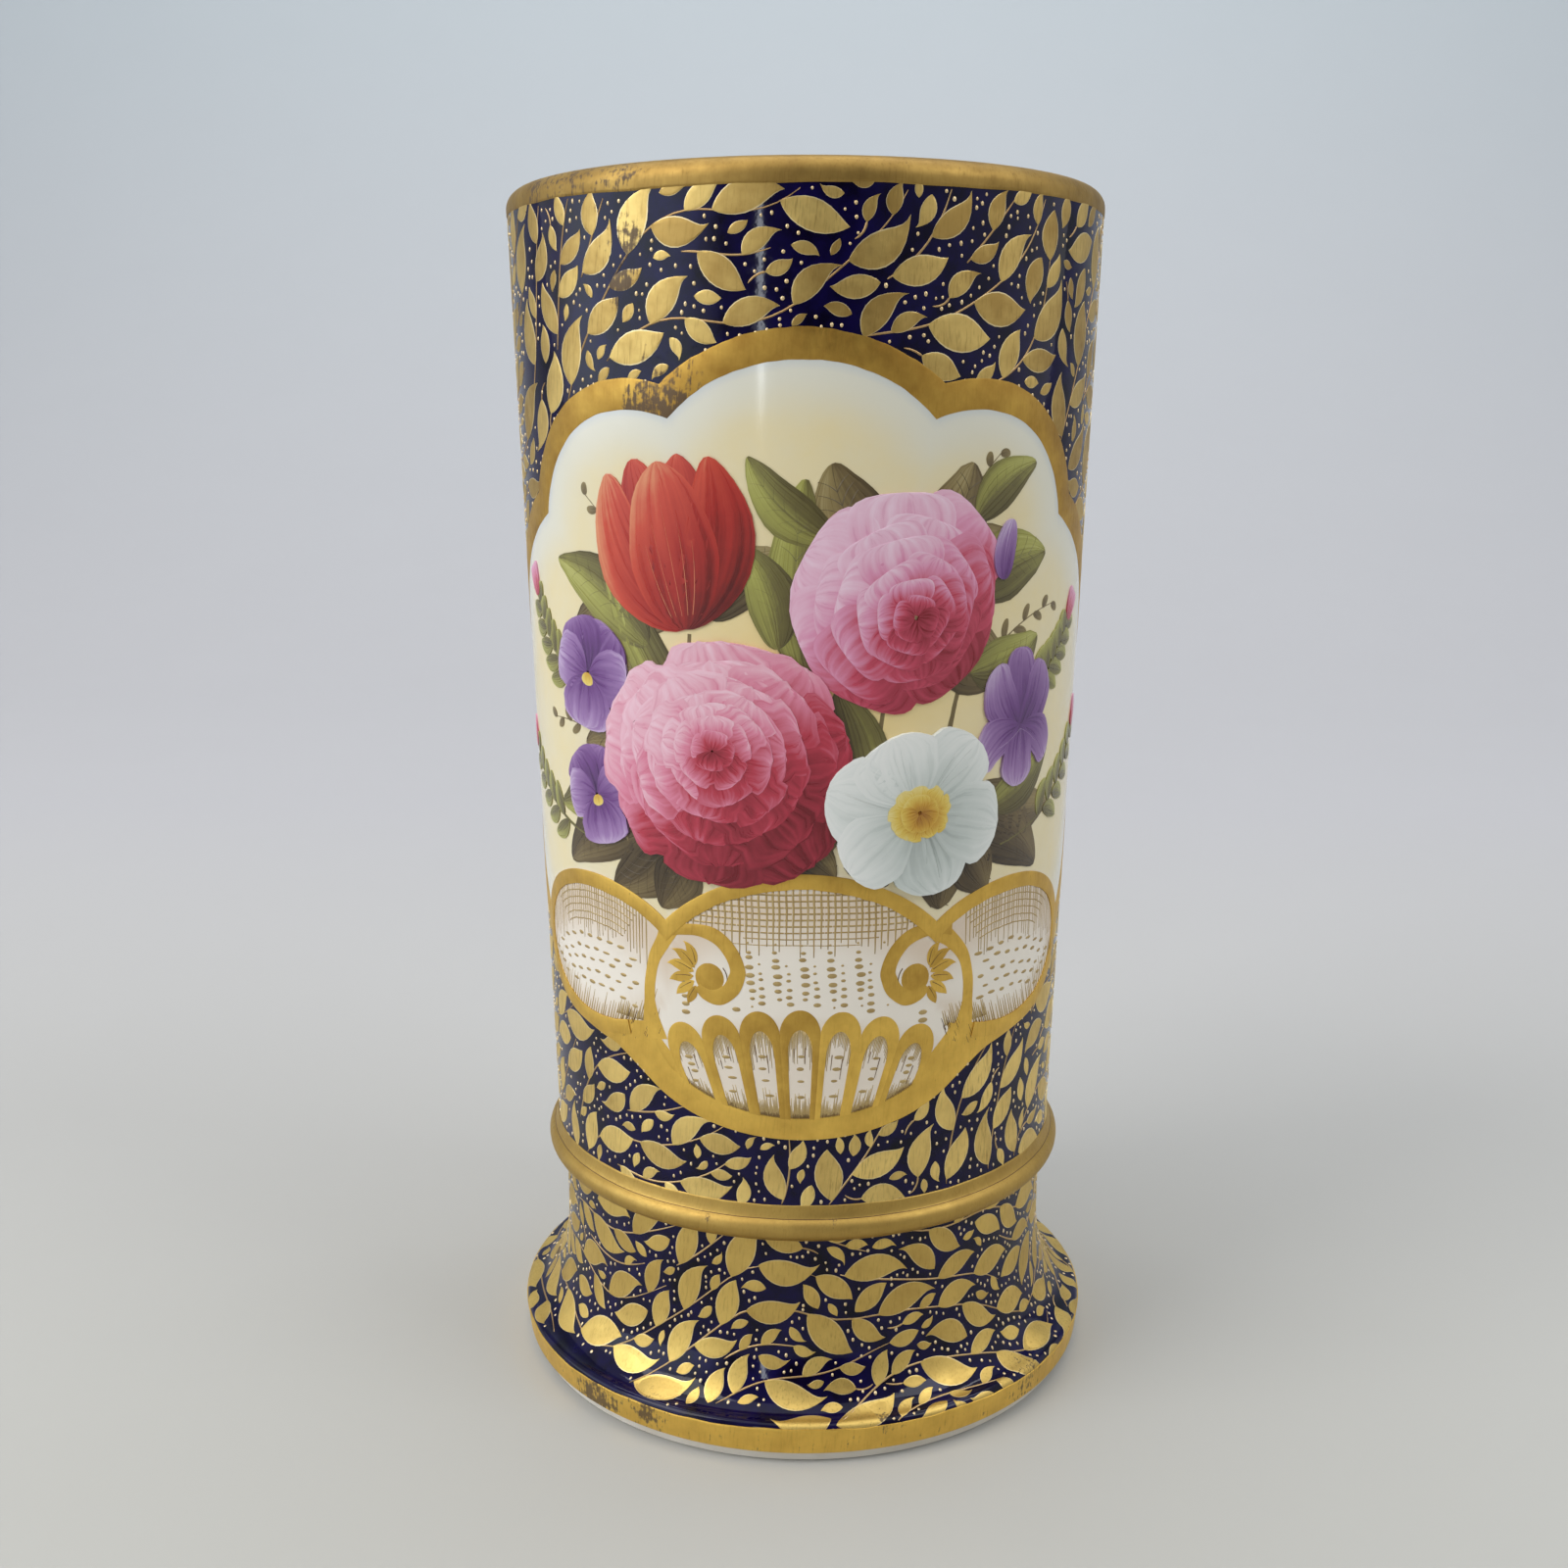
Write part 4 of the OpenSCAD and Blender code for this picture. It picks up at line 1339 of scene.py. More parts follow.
    @staticmethod
    def leaf_points(leaf: Array, along: Array, across: Array, grow: float = 0.0) -> Array:
        """Places on leaves.

        The midrib bends as the square of the way along and hooks at the tip. The half width rises from the
        stalk and falls to a fine tip as a lens does, fullest before the middle.

        Args:
            leaf: leaves x 6.
            along: ways along a leaf, from 0 to 1.
            across: places across it, from -1 at the right edge to 1 at the left one.
            grow: distance by which the leaf is made larger all round.

        Returns:
            Places, leaves x along x across x 2.
        """
        x, y, turn, length, width, bend = [leaf[:, n, None, None] for n in range(6)]
        t = along[None, :, None]
        half = (width / 2 * 3.45 * t ** 0.85 * (1 - t) ** 0.94 + grow + 0.012) * across
        run = t * (length + 2 * grow) - grow
        rise = length * bend * (t ** 2 - 0.55 * t + 0.7 * t ** 8) + half * (1 + 0.3 * np.sign(bend) * across)
        return np.stack([x + run * np.cos(turn) - rise * np.sin(turn),
                         y + run * np.sin(turn) + rise * np.cos(turn)], -1)

    def _set_leaves(self, leaves: Array, own_stem: int = 0) -> list[int]:
        """Sets those of the leaves that find free ground, in their order.

        Args:
            leaves: leaves x 6.
            own_stem: number of the stem that they may touch.

        Returns:
            Numbers of the leaves that are set.
        """
        outlines = self.leaf_points(leaves, np.linspace(0, 1, 22), np.linspace(-1, 1, 7), self.gap)
        fine = np.linspace(0, 1, 70), np.linspace(-1, 1, 41)
        done = []
        for n in np.flatnonzero(self._free(outlines, self.over, own_stem)):
            if self._free(outlines[n:n + 1], self.over, own_stem)[0]:
                self.leaves.append(leaves[n])
                self._mark(self.taken, self.leaf_points(leaves[n:n + 1], *fine, self.gap))
                done.append(int(n))
        return done

    def _size_at(self, y: Array | float) -> Array | float:
        """Share of the full leaf size at a height, smaller towards the field's low end."""
        return np.interp(y, [self.low, self.low + 60], [self.low_size, 1.0])

    def _leaf_at(self, place: Array, turn: float, bend: float, sizes: Sequence[float], number: int) -> None:
        """Sets one leaf on a stem, in the largest size that is free there.

        Args:
            place: its stalk.
            turn: its heading.
            bend: its bend.
            sizes: sizes to try.
            number: number of the stem.
        """
        for size in np.asarray(sizes) * self._size_at(place[1]):
            wide = self.leaf_w * size * self.rng.uniform(0.9, 1.12)
            if self._set_leaves(np.array([[*place, turn, self.leaf_l * size, wide, bend]]), number):
                return

    def _leaf_stem(self, path: Array, number: int) -> None:
        """Sets leaves along a stem by turns on its sides, in the largest size that fits, and one at its end.

        Args:
            path: the stem's path.
            number: its number.
        """
        run = np.gradient(path, axis=0)
        turns = np.arctan2(run[:, 1], run[:, 0])
        step = np.linalg.norm(run, axis=1).mean()
        spot, side = 0.8, self.rng.choice([-1, 1])
        while spot < step * (len(path) - 1):
            n = int(spot / step)
            turn = turns[n] + side * np.radians(self.rng.uniform(28, 58))
            sizes = self.rng.uniform(0.85, 1.15) * np.array([1, 0.86, 0.72, 0.6, 0.5, 0.4])
            self._leaf_at(path[n], turn, -side * self.rng.uniform(0.15, 0.42), sizes, number)
            spot += 0.2 * self.leaf_l * self._size_at(path[n, 1]) * self.rng.uniform(0.8, 1.25)
            side = -side
        self._leaf_at(path[-1], turns[-1], self.rng.uniform(-0.3, 0.3), [1.0, 0.8, 0.6], number)

    def _fill_gaps(self, batch: int = 2500, rounds: int = 4) -> list[Array]:
        """Sets leaves where there is room left, the largest first, and short stalks behind some of them.

        Args:
            batch: leaves tried at once.
            rounds: batches of each size.

        Returns:
            The stalks' paths.
        """
        rng, stalks = self.rng, []
        t = np.linspace(0, 1, 9)
        for size in np.repeat((1.0, 0.86, 0.74, 0.62, 0.52, 0.43, 0.35, 0.28), rounds):
            x = rng.uniform(-0.5, 0.5, batch) * self.width
            y = rng.uniform(self.low - 0.5, self.high + 0.5, batch)
            turn = self._heading_at(x, y) + rng.choice([0, np.pi], batch) + rng.uniform(-1.0, 1.0, batch)
            bend = rng.choice([-1, 1], batch) * rng.uniform(0.15, 0.42, batch)
            full = size * self._size_at(y)
            wide = self.leaf_w * full * rng.uniform(0.9, 1.15, batch)
            for n in self._set_leaves(np.stack([x, y, turn, self.leaf_l * full, wide, bend], -1)):
                back = turn[n] + np.pi + 1.5 * bend[n] * t
                stalk = np.stack([x[n] + self.stalk_l * t * np.cos(back),
                                  y[n] + self.stalk_l * t * np.sin(back)], -1)
                if size > 0.4 and self._free(stalk[None, 3:])[0]:
                    stalks.append(stalk)
                    self._mark(self.taken, stalk)
        return stalks

    def _scatter_dots(self, batch: int = 20000, rounds: int = 5) -> Array:
        """Dots on free ground, an even distance apart, with some ground left plain.

        Args:
            batch: places tried at once.
            rounds: number of batches.

        Returns:
            Centres of the dots.
        """
        turn = np.linspace(0, 2 * np.pi, 9)[:-1]
        ring = np.concatenate([[[0, 0]], np.stack([np.cos(turn), np.sin(turn)], -1)])
        disc = np.concatenate([ring * f for f in (0.2, 0.4, 0.6, 0.8, 1.0)]) * self.dot_gap
        edge = ring * (self.dot_r + 0.06)
        dots = []
        for _ in range(rounds):
            spots = np.stack([self.rng.uniform(-0.5, 0.5, batch) * self.width,
                              self.rng.uniform(self.low + self.dot_r, self.high - self.dot_r, batch)], -1)
            bare = np.sin(0.31 * spots[:, 0] + self.phases[0]) + np.sin(0.43 * spots[:, 1] + self.phases[1])
            for spot in spots[(bare < 1.5) & self._free(spots[:, None] + edge)]:
                if self._free((spot + edge)[None])[0]:
                    dots.append(spot)
                    self._mark(self.taken, spot + disc)
        return np.array(dots)

    def build(self) -> None:
        """Makes the leaves, the stems and the dots."""
        across = np.concatenate([[0.0], np.linspace(0.05, 0.95, self.leaf_cols), [1.0]])
        heights = self.lift * np.where((across > 0) & (across < 1), 1.0, 0.7)
        edges = self.leaf_points(np.array(self.leaves), eased(self.leaf_rows), BOTH_EDGES)
        blades = slabs(self.ground, edges[:, :, 1], edges[:, :, 0], heights, across=across, seed=self.seed)
        blades.piece(f"{self.name}_leaves", self.leaf, crease=35)
        paths = []
        for path in self.stems + self.stalks:
            share = np.linspace(0, len(path) - 1, self.stem_rows)
            paths.append(np.stack([np.interp(share, np.arange(len(path)), path[:, n]) for n in (0, 1)], -1))
        taper = np.interp(np.linspace(0, 1, self.stem_rows), [0, 0.1, 0.8, 1], [0.5, 1, 0.8, 0.35])
        stems = strokes(self.ground, paths, self.stem_w * taper[None], 0.034, seed=self.seed + 1)
        stems.piece(f"{self.name}_stems", Gilt.STEM)
        count = len(self.dots)
        half = self.dot_r * self.rng.uniform(0.75, 1.1, (count, 1)) * self.rng.uniform(0.85, 1.1, (count, 2))
        dots = np.concatenate([self.dots, half * [0.92, 1.22]], 1)
        domes(self.ground, dots, 0.06, self.seed).piece(f"{self.name}_dots", Gilt.DOT)
        LOG.info("%s: %d leaves, %d dots", self.name, len(self.leaves), count)


@dataclass(frozen=True)
class Scroll:
    """The scroll on one side of the basket: its side, its volute's eye and the middle line of its stem."""

    side: Side
    eye: Spot
    stem: Line

    @property
    def inwards(self) -> Array:
        """Factors that turn a place from the eye towards the middle of the basket."""
        return np.array([-self.side.value, 1])


@dataclass
class Panel:
    """The lobed reserve, its gilt frame and the gilt basket at its foot.

    A volute's edges and fronds are places from its eye: towards the middle of the basket, and up. Webs join
    the rim to the bowl, and are given on the right. The gadroons fan out from a point below the bowl.
    """

    plan: PanelPlan
    ground: Field
    tongues: int = 7
    tongue_w: float = 3.7
    tongue_h: float = 11.4
    window_w: float = 2.5
    head_drop: float = 2.5
    head_tall: float = 1.3
    window_tall: float = 2.0
    fan_drop: float = 34.0
    eye_r: float = 1.95
    net_gap: float = 0.68
    net_low: float = 53.2
    scrolls: tuple[Scroll, ...] = (
        Scroll(Side.LEFT, (-9.3, 49.6),
               ((-13.8, 54.2), (-14.5, 52.8), (-15.6, 50.9), (-16.2, 48.6), (-16.4, 46.6), (-16.3, 44.6),
                (-15.9, 42.0))),
        Scroll(Side.RIGHT, (11.9, 49.4),
               ((14.3, 54.2), (16.0, 52.9), (17.6, 51.0), (18.3, 48.6), (18.4, 46.4), (18.2, 44.4),
                (17.6, 41.8))))
    volute_out: Line = (
        (-4.1, 5.2), (-3.0, 5.4), (-0.1, 5.5), (1.7, 4.7), (3.06, 3.1), (3.77, 1.2), (3.64, -0.05),
        (3.0, -1.46), (1.6, -2.6), (0.4, -2.75), (-0.9, -2.2), (-1.6, -1.3))
    volute_in: Line = ((-4.1, 4.0), (-3.0, 4.2), (-1.2, 4.3), (0.6, 3.65), (1.7, 2.4), (2.2, 1.1), (2.0, 0.3),
                       (1.6, -0.5), (1.0, -1.0), (0.2, -1.2), (-0.6, -1.0), (-1.0, -0.7))
    fronds: tuple[tuple[float, ...], ...] = (
        (-1.5, 1.2, 100, 2.6, 1.1, 0.3), (-1.6, 0.9, 128, 2.9, 1.2, 0.3), (-1.7, 0.5, 155, 3.0, 1.2, 0.25),
        (-1.75, 0.0, 182, 2.8, 1.15, 0.2), (-1.7, -0.5, 210, 2.6, 1.1, 0.15),
        (-1.5, -1.0, 238, 2.2, 1.0, 0.1))
    web_out: Line = ((27.0, 41.35), (24.0, 40.75), (21.2, 40.1), (18.6, 38.7), (16.0, 36.95))
    web_in: Line = ((27.0, 41.9), (24.0, 42.2), (21.2, 43.0), (18.6, 43.5), (16.0, 43.9))
    lift: float = 0.07
    rim_over: float = 0.08
    laid: float = 0.03

    def __post_init__(self) -> None:
        """Finds how far from the fan's point the gadroons' heads reach."""
        self.heads = self.fan_drop - self.plan.bowl_inside.b + self.tongue_h

    def build(self) -> None:
        """Makes the reserve, the frame and the basket."""
        self._reserve()
        self._frame()
        self._rim_and_bowl()
        self._gadroons()
        self._volutes()
        self._wicker()
        self._side_wicker()

    def _plate(self, left: Array, right: Array, edge: float, heights: Array, seed: int = 0) -> Shell:
        """Gilt plates between two sets of lines, with a strip of a share of the width along both edges."""
        across = np.array([0, edge, 0.5, 1 - edge, 1] if len(heights) == 5 else [0, edge, 1 - edge, 1])
        return slabs(self.ground, *ordered(left, right), heights, across=across, seed=seed)

    def _pen(self, paths: Sequence[Array], start: float, end: float, lift: float, seed: int) -> Shell:
        """Pen strokes, whose width runs evenly from start to end."""
        widths = np.linspace(start, end, len(paths[0]))
        return strokes(self.ground, paths, widths[None], lift, HAIR, seed=seed)

    def _reserve(self, cols: int = 181, rows: int = 141, tuck: float = 1.2, tuck_in: float = 0.7) -> None:
        """The painted ground: columns between the union's lowest and highest edge, which the gilding covers.

        Args:
            cols: number of columns.
            rows: places down a column.
            tuck: how far the ground reaches under the frame.
            tuck_in: how far it stays inside the basket's edge.
        """
        plan = self.plan
        lobes = [lobe.grown(tuck) for lobe in plan.upper()]
        lobes += [lobe.grown(-tuck_in) for lobe in (plan.bowl, plan.side, plan.side.mirrored())]
        reach = plan.flank.x + (plan.flank.a + tuck) * 0.9985
        x = reach * np.sin(np.linspace(-np.pi / 2, np.pi / 2, cols))
        spans = np.array([lobe.span(x) for lobe in lobes])
        low, high = np.nanmin(spans[:, 0], axis=0), np.nanmax(spans[:, 1], axis=0)
        share = np.linspace(0, 1, rows)
        shell = slabs(self.ground, np.stack([x, high], -1)[None], np.stack([x, low], -1)[None],
                      np.full((1, 1, rows), self.laid), across=share)
        y = np.concatenate([high[:, None] + (low - high)[:, None] * share, low[:, None], high[:, None]], 1)
        shell.values.update(self._shades(np.stack([np.repeat(x, rows + 2), y.ravel()], -1)))
        shell.piece("reserve", Fired.RESERVE, ["reserve_panel"], 60)

    def _shades(self, flat: Array) -> dict[str, Array]:
        """Shares of cream, warm white, glow, blue edge and brown wash on the painted ground.

        Args:
            flat: points of the ground.

        Returns:
            The shares by the names of their attributes.
        """
        plan = self.plan
        upper, basket = plan.depth(flat, plan.upper()), plan.depth(flat, plan.basket())
        cream = smooth_step(0.6, 6.5, upper) * (1 - smooth_step(-0.3, 0.6, basket))
        warm = smooth_step(-0.4, 0.2, basket)
        side = plan.depth(flat, [plan.side, plan.side.mirrored()])
        drop = self._below_rim(flat)
        under_rim = smooth_step(-0.2, 0.3, drop) * (1 - smooth_step(1.8, 7.4, drop))
        side_foot = smooth_step(48.5, 45.0, flat[:, 1]) * smooth_step(0.8, 1.5, side)
        side_foot = side_foot * (1 - smooth_step(1.6, 4.2, side))
        windows = smooth_step(self.heads, self.heads - 1.5, self._fan_reach(flat))
        return {"cream": cream, "basket": warm, "bleed": (1 - smooth_step(-0.1, 1.0, upper)) * (1 - warm),
                "glow": cream * np.exp(-(((flat - [3.0, 80.0]) / [15.0, 12.0]) ** 2).sum(1)),
                "wash": np.max([under_rim, 0.8 * side_foot, 0.42 * windows], axis=0)}

    def _frame(self) -> None:
        """Gilt frame between the lobed edge and the same edge grown by the frame's width."""
        inner, outer = self.plan.lobed_edge(0.0), self.plan.lobed_edge(self.plan.frame_w)
        share = np.linspace(0, 1, len(inner))[:, None]
        way = (outer - inner) / np.linalg.norm(outer - inner, axis=1, keepdims=True)
        outer = outer + way * tremor(share, 0.09, 21, (7, 19, 43, 71))
        inner = inner + way * tremor(share, 0.07, 22, (7, 19, 43, 71))
        frame_band = self._plate(outer[None], inner[None], 0.05, self.lift * np.array([0.6, 1, 1, 1, 0.6]))
        frame_band.piece("frame_band", Gilt.BAND, ["panel_frame"], 35)

    def _rim_and_bowl(self) -> None:
        """Rim line of the basket, the gilt crescent of its bowl, and webs where the two meet."""
        plan, count = self.plan, 4 * self.plan.steps
        heights = self.lift * np.array([0.6, 1, 1, 1, 0.6])
        inner, outer = plan.rim_edge(plan.line_w), plan.rim_edge(0.0)
        share = np.linspace(0, 1, len(inner))[:, None]
        inner = inner + [[0, 1]] * tremor(share, 0.06, 23, (11, 23, 47, 61))
        rim = self._plate(outer[None], inner[None], 0.07, heights + self.rim_over)
        rim.piece("basket_rim_line", Gilt.BAND, ["basket_rim"], 35)
        low, high = plan.bowl.arc(188, 352, count), plan.bowl_inside.arc(180, 360, count)
        bowl = [self._plate(high[None], low[None], 0.07, heights)]
        for side in Side:
            web = [spline(edge, 40)[None] * side.flip for edge in (self.web_out, self.web_in)]
            bowl.append(self._plate(*web, 0.07, heights - 0.01))
        Shell.joined(*bowl).piece("basket_crescent", Gilt.BAND, ["basket_bowl"], 35)

    def _fan(self, turn: Array | float, reach: Array | float) -> Array:
        """Places on rays that fan out from a point below the bowl."""
        return np.stack([reach * np.sin(turn), self.plan.bowl.y - self.fan_drop + reach * np.cos(turn)], -1)

    def _fan_reach(self, flat: Array) -> Array:
        """Distance of places from the fan's point."""
        return np.hypot(flat[..., 0], flat[..., 1] - self.plan.bowl.y + self.fan_drop)

    def _band_reach(self, turn: float) -> float:
        """Distance along a ray to the inner edge of the bowl's crescent, a root of the ellipse's quadratic.

        Args:
            turn: angle of the ray.

        Returns:
            The distance from the fan's point.
        """
        e = self.plan.bowl_inside
        p = (np.sin(turn) / e.a) ** 2 + (np.cos(turn) / e.b) ** 2
        q = -self.fan_drop * np.cos(turn) / e.b ** 2
        s = (self.fan_drop / e.b) ** 2 - 1
        return (-q - np.sqrt(np.maximum(q * q - p * s, 0))) / p

    def _tongue(self, turn: float, half: float, top: float, head_r: float, tall: float,
                steps: int = 20) -> Array:
        """Outline of a tongue on a ray: from the crescent up one side, over an oval head and down the other.

        Args:
            turn: angle of the ray.
            half: half of the tongue's angle.
            top: distance of the head's centre from the fan's point.
            head_r: half width of the head.
            tall: height of the head over its half width.
            steps: points of each side and of the head.

        Returns:
            The outline's points.
        """
        sides = []
        for ray in (turn - half, turn + half):
            low = self._band_reach(ray) - 0.3
            sides.append(self._fan(ray, low + (top / np.cos(half) - low) * np.linspace(0, 1, steps)))
        out, up = np.array([np.cos(turn), -np.sin(turn)]), np.array([np.sin(turn), np.cos(turn)])
        swing = np.linspace(np.pi, 0, steps)[1:-1, None]
        head = self._fan(turn, top) + head_r * (np.cos(swing) * out + tall * np.sin(swing) * up)
        return np.concatenate([sides[0], head, sides[1][::-1]])

    def _cheek(self, side: Side, ray: float, top: float, steps: int = 24) -> tuple[Array, Array]:
        """Edges of the gilding between the last tongue of a side and the crescent.

        Args:
            side: the side.
            ray: angle of the tongue's outer edge on the right.
            top: how far from the fan's point the gilding reaches up.
            steps: points of an edge.

        Returns:
            The tongue's edge and the crescent's.
        """
        reach = self._band_reach(ray)
        foot = self.plan.bowl_inside.angle_of(self._fan(ray, reach))
        edge = self.plan.bowl_inside.grown(0.3).arc(foot, -3.0, steps)
        flank = self._fan(ray, np.linspace(reach - 0.3, top, steps))
        return flank[None] * side.flip, edge[None] * side.flip

    def _gadroons(self) -> None:
        """Gadroons: gilt heads and ribs round narrow white windows, feathered with strokes and dashes."""
        rng = np.random.default_rng(31)
        fan_r = self.heads - self.tongue_w / 2
        window, window_r = fan_r - self.head_drop, self.window_w / 2
        head_r = self.tongue_w / 2 + self.plan.gap
        head_z = fan_r - (self.head_tall - 1) * head_r
        wide, narrow = np.arctan(head_r / fan_r), np.arctan(window_r / window)
        last = (self.tongues - 1) / 2
        outer, inner, hairs, dashes, cuts = [], [], [], [], []
        for turn in 2 * wide * (np.arange(self.tongues) - last):
            outer.append(self._tongue(turn, wide, head_z, head_r, self.head_tall))
            inner.append(self._tongue(turn, narrow, window, window_r, self.window_tall))
            for place in np.linspace(-0.96, 0.96, 17):
                ray = turn + narrow * place
                low = self._band_reach(ray)
                room = window + self.window_tall * window_r * np.sqrt(1 - place ** 2) - low
                rise, fall = rng.uniform(0.1, 0.36) * room, rng.uniform(0.1, 0.42) * room
                hairs.append(self._fan(ray, low - 0.1 + np.linspace(0, rise, 5)))
                hairs.append(self._fan(ray, low + room + 0.2 - np.linspace(0, fall, 5)))
                cuts.append(self._fan(ray, low + np.linspace(-0.5, rng.uniform(0.0, 0.5), 5)))
            low = self._band_reach(turn)
            for share in (0.24, 0.42, 0.56, 0.70):
                middle = self._fan(turn + rng.normal(0, 0.1) * narrow, low + share * (fan_r - low))
                dashes.append([*middle, rng.uniform(0.48, 0.70), rng.uniform(0.20, 0.30)])
            for place in (-1.35, -1.2, 1.2, 1.4, -0.5, 0.4):
                high = window + rng.uniform(-0.6, 1.2)
                cuts.append(self._fan(turn + narrow * place, high - np.linspace(0, rng.uniform(0.8, 2.4), 5)))
        cheeks = [self._cheek(side, (2 * last + 1) * wide, head_z) for side in Side]
        plates = [self._plate(*edges, 0.06, self.lift * np.array([0.8, 1, 1, 0.8]))
                  for edges in ((np.array(outer), np.array(inner)), *cheeks)]
        Shell.joined(*plates).piece("gadroons", Gilt.BAND, ["basket_gadroons"], 35)
        feathers = Shell.joined(self._pen(hairs, 0.17, 0.051, 0.06, 32),
                                domes(self.ground, dashes, 0.05, 33, 10))
        feathers.piece("gadroon_feathers", Gilt.THIN)
        self._pen(cuts, 0.085, 0.034, self.lift + 0.025, 34).piece("gadroon_lines", Gilt.LINES)

    def _volutes(self, count: int = 80) -> None:
        """Scrolls: a band that curls into a round eye, small leaves behind it, and a stem down to the bowl.

        Args:
            count: points along a band or stem.
        """
        shells, cuts = [], []
        parting = arc((0, 0), 1.9, 1.9, 40, -60, 9)
        width = np.interp(np.linspace(0, 1, count), [0, 0.15, 0.4, 0.7, 0.85, 1],
                          [2.2, 1.7, 1.3, 1.35, 2.0, 3.2])
        for scroll in self.scrolls:
            eye, flip = np.array(scroll.eye), scroll.inwards
            band = [(eye + spline(edge, count) * flip)[None] for edge in (self.volute_out, self.volute_in)]
            shells.append(self._plate(*band, 0.08, (self.lift + 0.012) * np.array([0.7, 1, 1, 1, 0.7]), 35))
            shells.append(domes(self.ground, [[*eye, self.eye_r, self.eye_r]], self.lift + 0.02, 36, 32))
            stem = spline(scroll.stem, count)
            shells.append(strokes(self.ground, stem[None], width[None], self.lift + 0.008, FLAT, seed=37))
            leaf = np.array(self.fronds)
            leaf[:, :2] = eye + leaf[:, :2] * flip
            leaf[:, 2] = np.radians(leaf[:, 2] if scroll.side is Side.LEFT else 180 - leaf[:, 2])
            leaf[:, 5] *= -scroll.side.value
            edges = GiltGround.leaf_points(leaf, eased(11), BOTH_EDGES)
            shells.append(slabs(self.ground, edges[:, :, 1], edges[:, :, 0],
                                self.lift * np.array([0.7, 1, 0.7]), across=NARROW, seed=38))
            cuts += [*GiltGround.leaf_points(leaf, np.linspace(0.12, 0.75, 9), np.zeros(1))[:, :, 0],
                     eye + parting * flip]
        Shell.joined(*shells).piece("scrolls", Gilt.BAND, ["basket_scrolls"], 35)
        self._pen(cuts, 0.09, 0.036, self.lift + 0.04, 39).piece("scroll_lines", Gilt.LINES)

    def _scroll_top(self, x: Array) -> Array:
        """Upper edge of the volutes at each x, and far below the basket beside them.

        Args:
            x: places across the basket.

        Returns:
            The edge's y.
        """
        tops = []
        for scroll in self.scrolls:
            edge = np.array(scroll.eye) + np.array(self.volute_out[:7]) * scroll.inwards
            edge = edge[np.argsort(edge[:, 0])]
            tops.append(np.interp(x, edge[:, 0], edge[:, 1], left=-1e3, right=-1e3))
        return np.max(tops, axis=0)

    def _off_scrolls(self, flat: Array) -> Array:
        """Whether points are clear of the volutes and of the gadroons' heads.

        Args:
            flat: the points.

        Returns:
            A truth value for each point.
        """
        clear = self._fan_reach(flat) > self.heads + 0.55
        for scroll in self.scrolls:
            from_eye = (flat - scroll.eye) * scroll.inwards
            clear &= np.hypot(from_eye[..., 0] - 0.6, (from_eye[..., 1] - 0.9) * 0.86) > 3.6
        return clear

    def _net(self, rng: np.random.Generator) -> list[Shell]:
        """Net under the rim's middle, with ragged lower ends.

        Args:
            rng: source of its unsteadiness.

        Returns:
            Its uprights and its levels.
        """
        rim = self.plan.rim_mid.grown(-self.plan.line_w)

        def under_rim(x: Array) -> Array:
            """Upper ends of lines at each x, and far below the basket beside the rim."""
            return np.nan_to_num(rim.span(x)[1] + 0.2, nan=-1e3)

        x = np.arange(-13.6, 13.7, self.net_gap)
        x = x + rng.normal(0, 0.05, len(x))
        low = np.maximum(self._scroll_top(x), self.net_low + rng.uniform(-1.0, 0.6, len(x)))
        x, low, high = [value[under_rim(x) - low > 0.4, None] for value in (x, low, under_rim(x))]
        f = np.linspace(0, 1, 9)
        uprights = np.stack([x + tremor(f, 0.05, 42, (1, 2)), high + (low - high) * f], -1)
        fine = np.linspace(-14, 14, 561)
        z = np.arange(self.net_low + 0.3, rim.y + rim.b, self.net_gap * 0.96)[:, None]
        room = (z < under_rim(fine)) & (z > self._scroll_top(fine))
        ends = np.stack([fine[room.argmax(1)], fine[room.shape[1] - 1 - room[:, ::-1].argmax(1)]], -1)
        ends *= np.interp(z, [self.net_low, self.net_low + 2], [0.55, 1.0])
        g = np.linspace(0, 1, 61)
        along = ends[:, :1] + (ends[:, 1:] - ends[:, :1]) * g
        levels = np.stack([along, z + tremor(g, 0.05, 43, (1, 2))], -1)
        taper = np.interp(f, [0, 0.6, 1], [0.24, 0.2, 0.1])[None]
        weight = np.interp(z, [self.net_low, self.net_low + 2.4], [0.09, 0.2])
        return [strokes(self.ground, uprights, taper, 0.05, HAIR, seed=42),
                strokes(self.ground, levels, weight, 0.05, HAIR, seed=43)]

    def _wicker(self) -> None:
        """Wickerwork of the middle: a net under the rim, and below it columns of oval dots."""
        rng = np.random.default_rng(41)
        net = self._net(rng)
        f = np.linspace(0, 1, 9)
        columns = []
        for x in 2.75 * np.arange(-5, 6):
            for place, lean, top, wide in ((x + 0.2, 0.5, 53.6, 0.18 + 0.48 * np.sin(np.pi * f)),
                                           (x + 1.45, 0.4, 51.4, 0.2 + 0.54 * f)):
                columns.append(np.stack([place + lean * f, top - 6.6 * f, wide, 0.08 + 0.42 * wide], -1))
        spots = np.concatenate(columns)
        spots[:, :2] += rng.normal(0, 0.06, (len(spots), 2))
        spots = spots[self._off_scrolls(spots[:, :2]) & (np.abs(spots[:, 0] - 1.0) < 13.4)]
        Shell.joined(*net, domes(self.ground, spots, 0.06, 44, 10)).piece("wicker", Gilt.THIN)

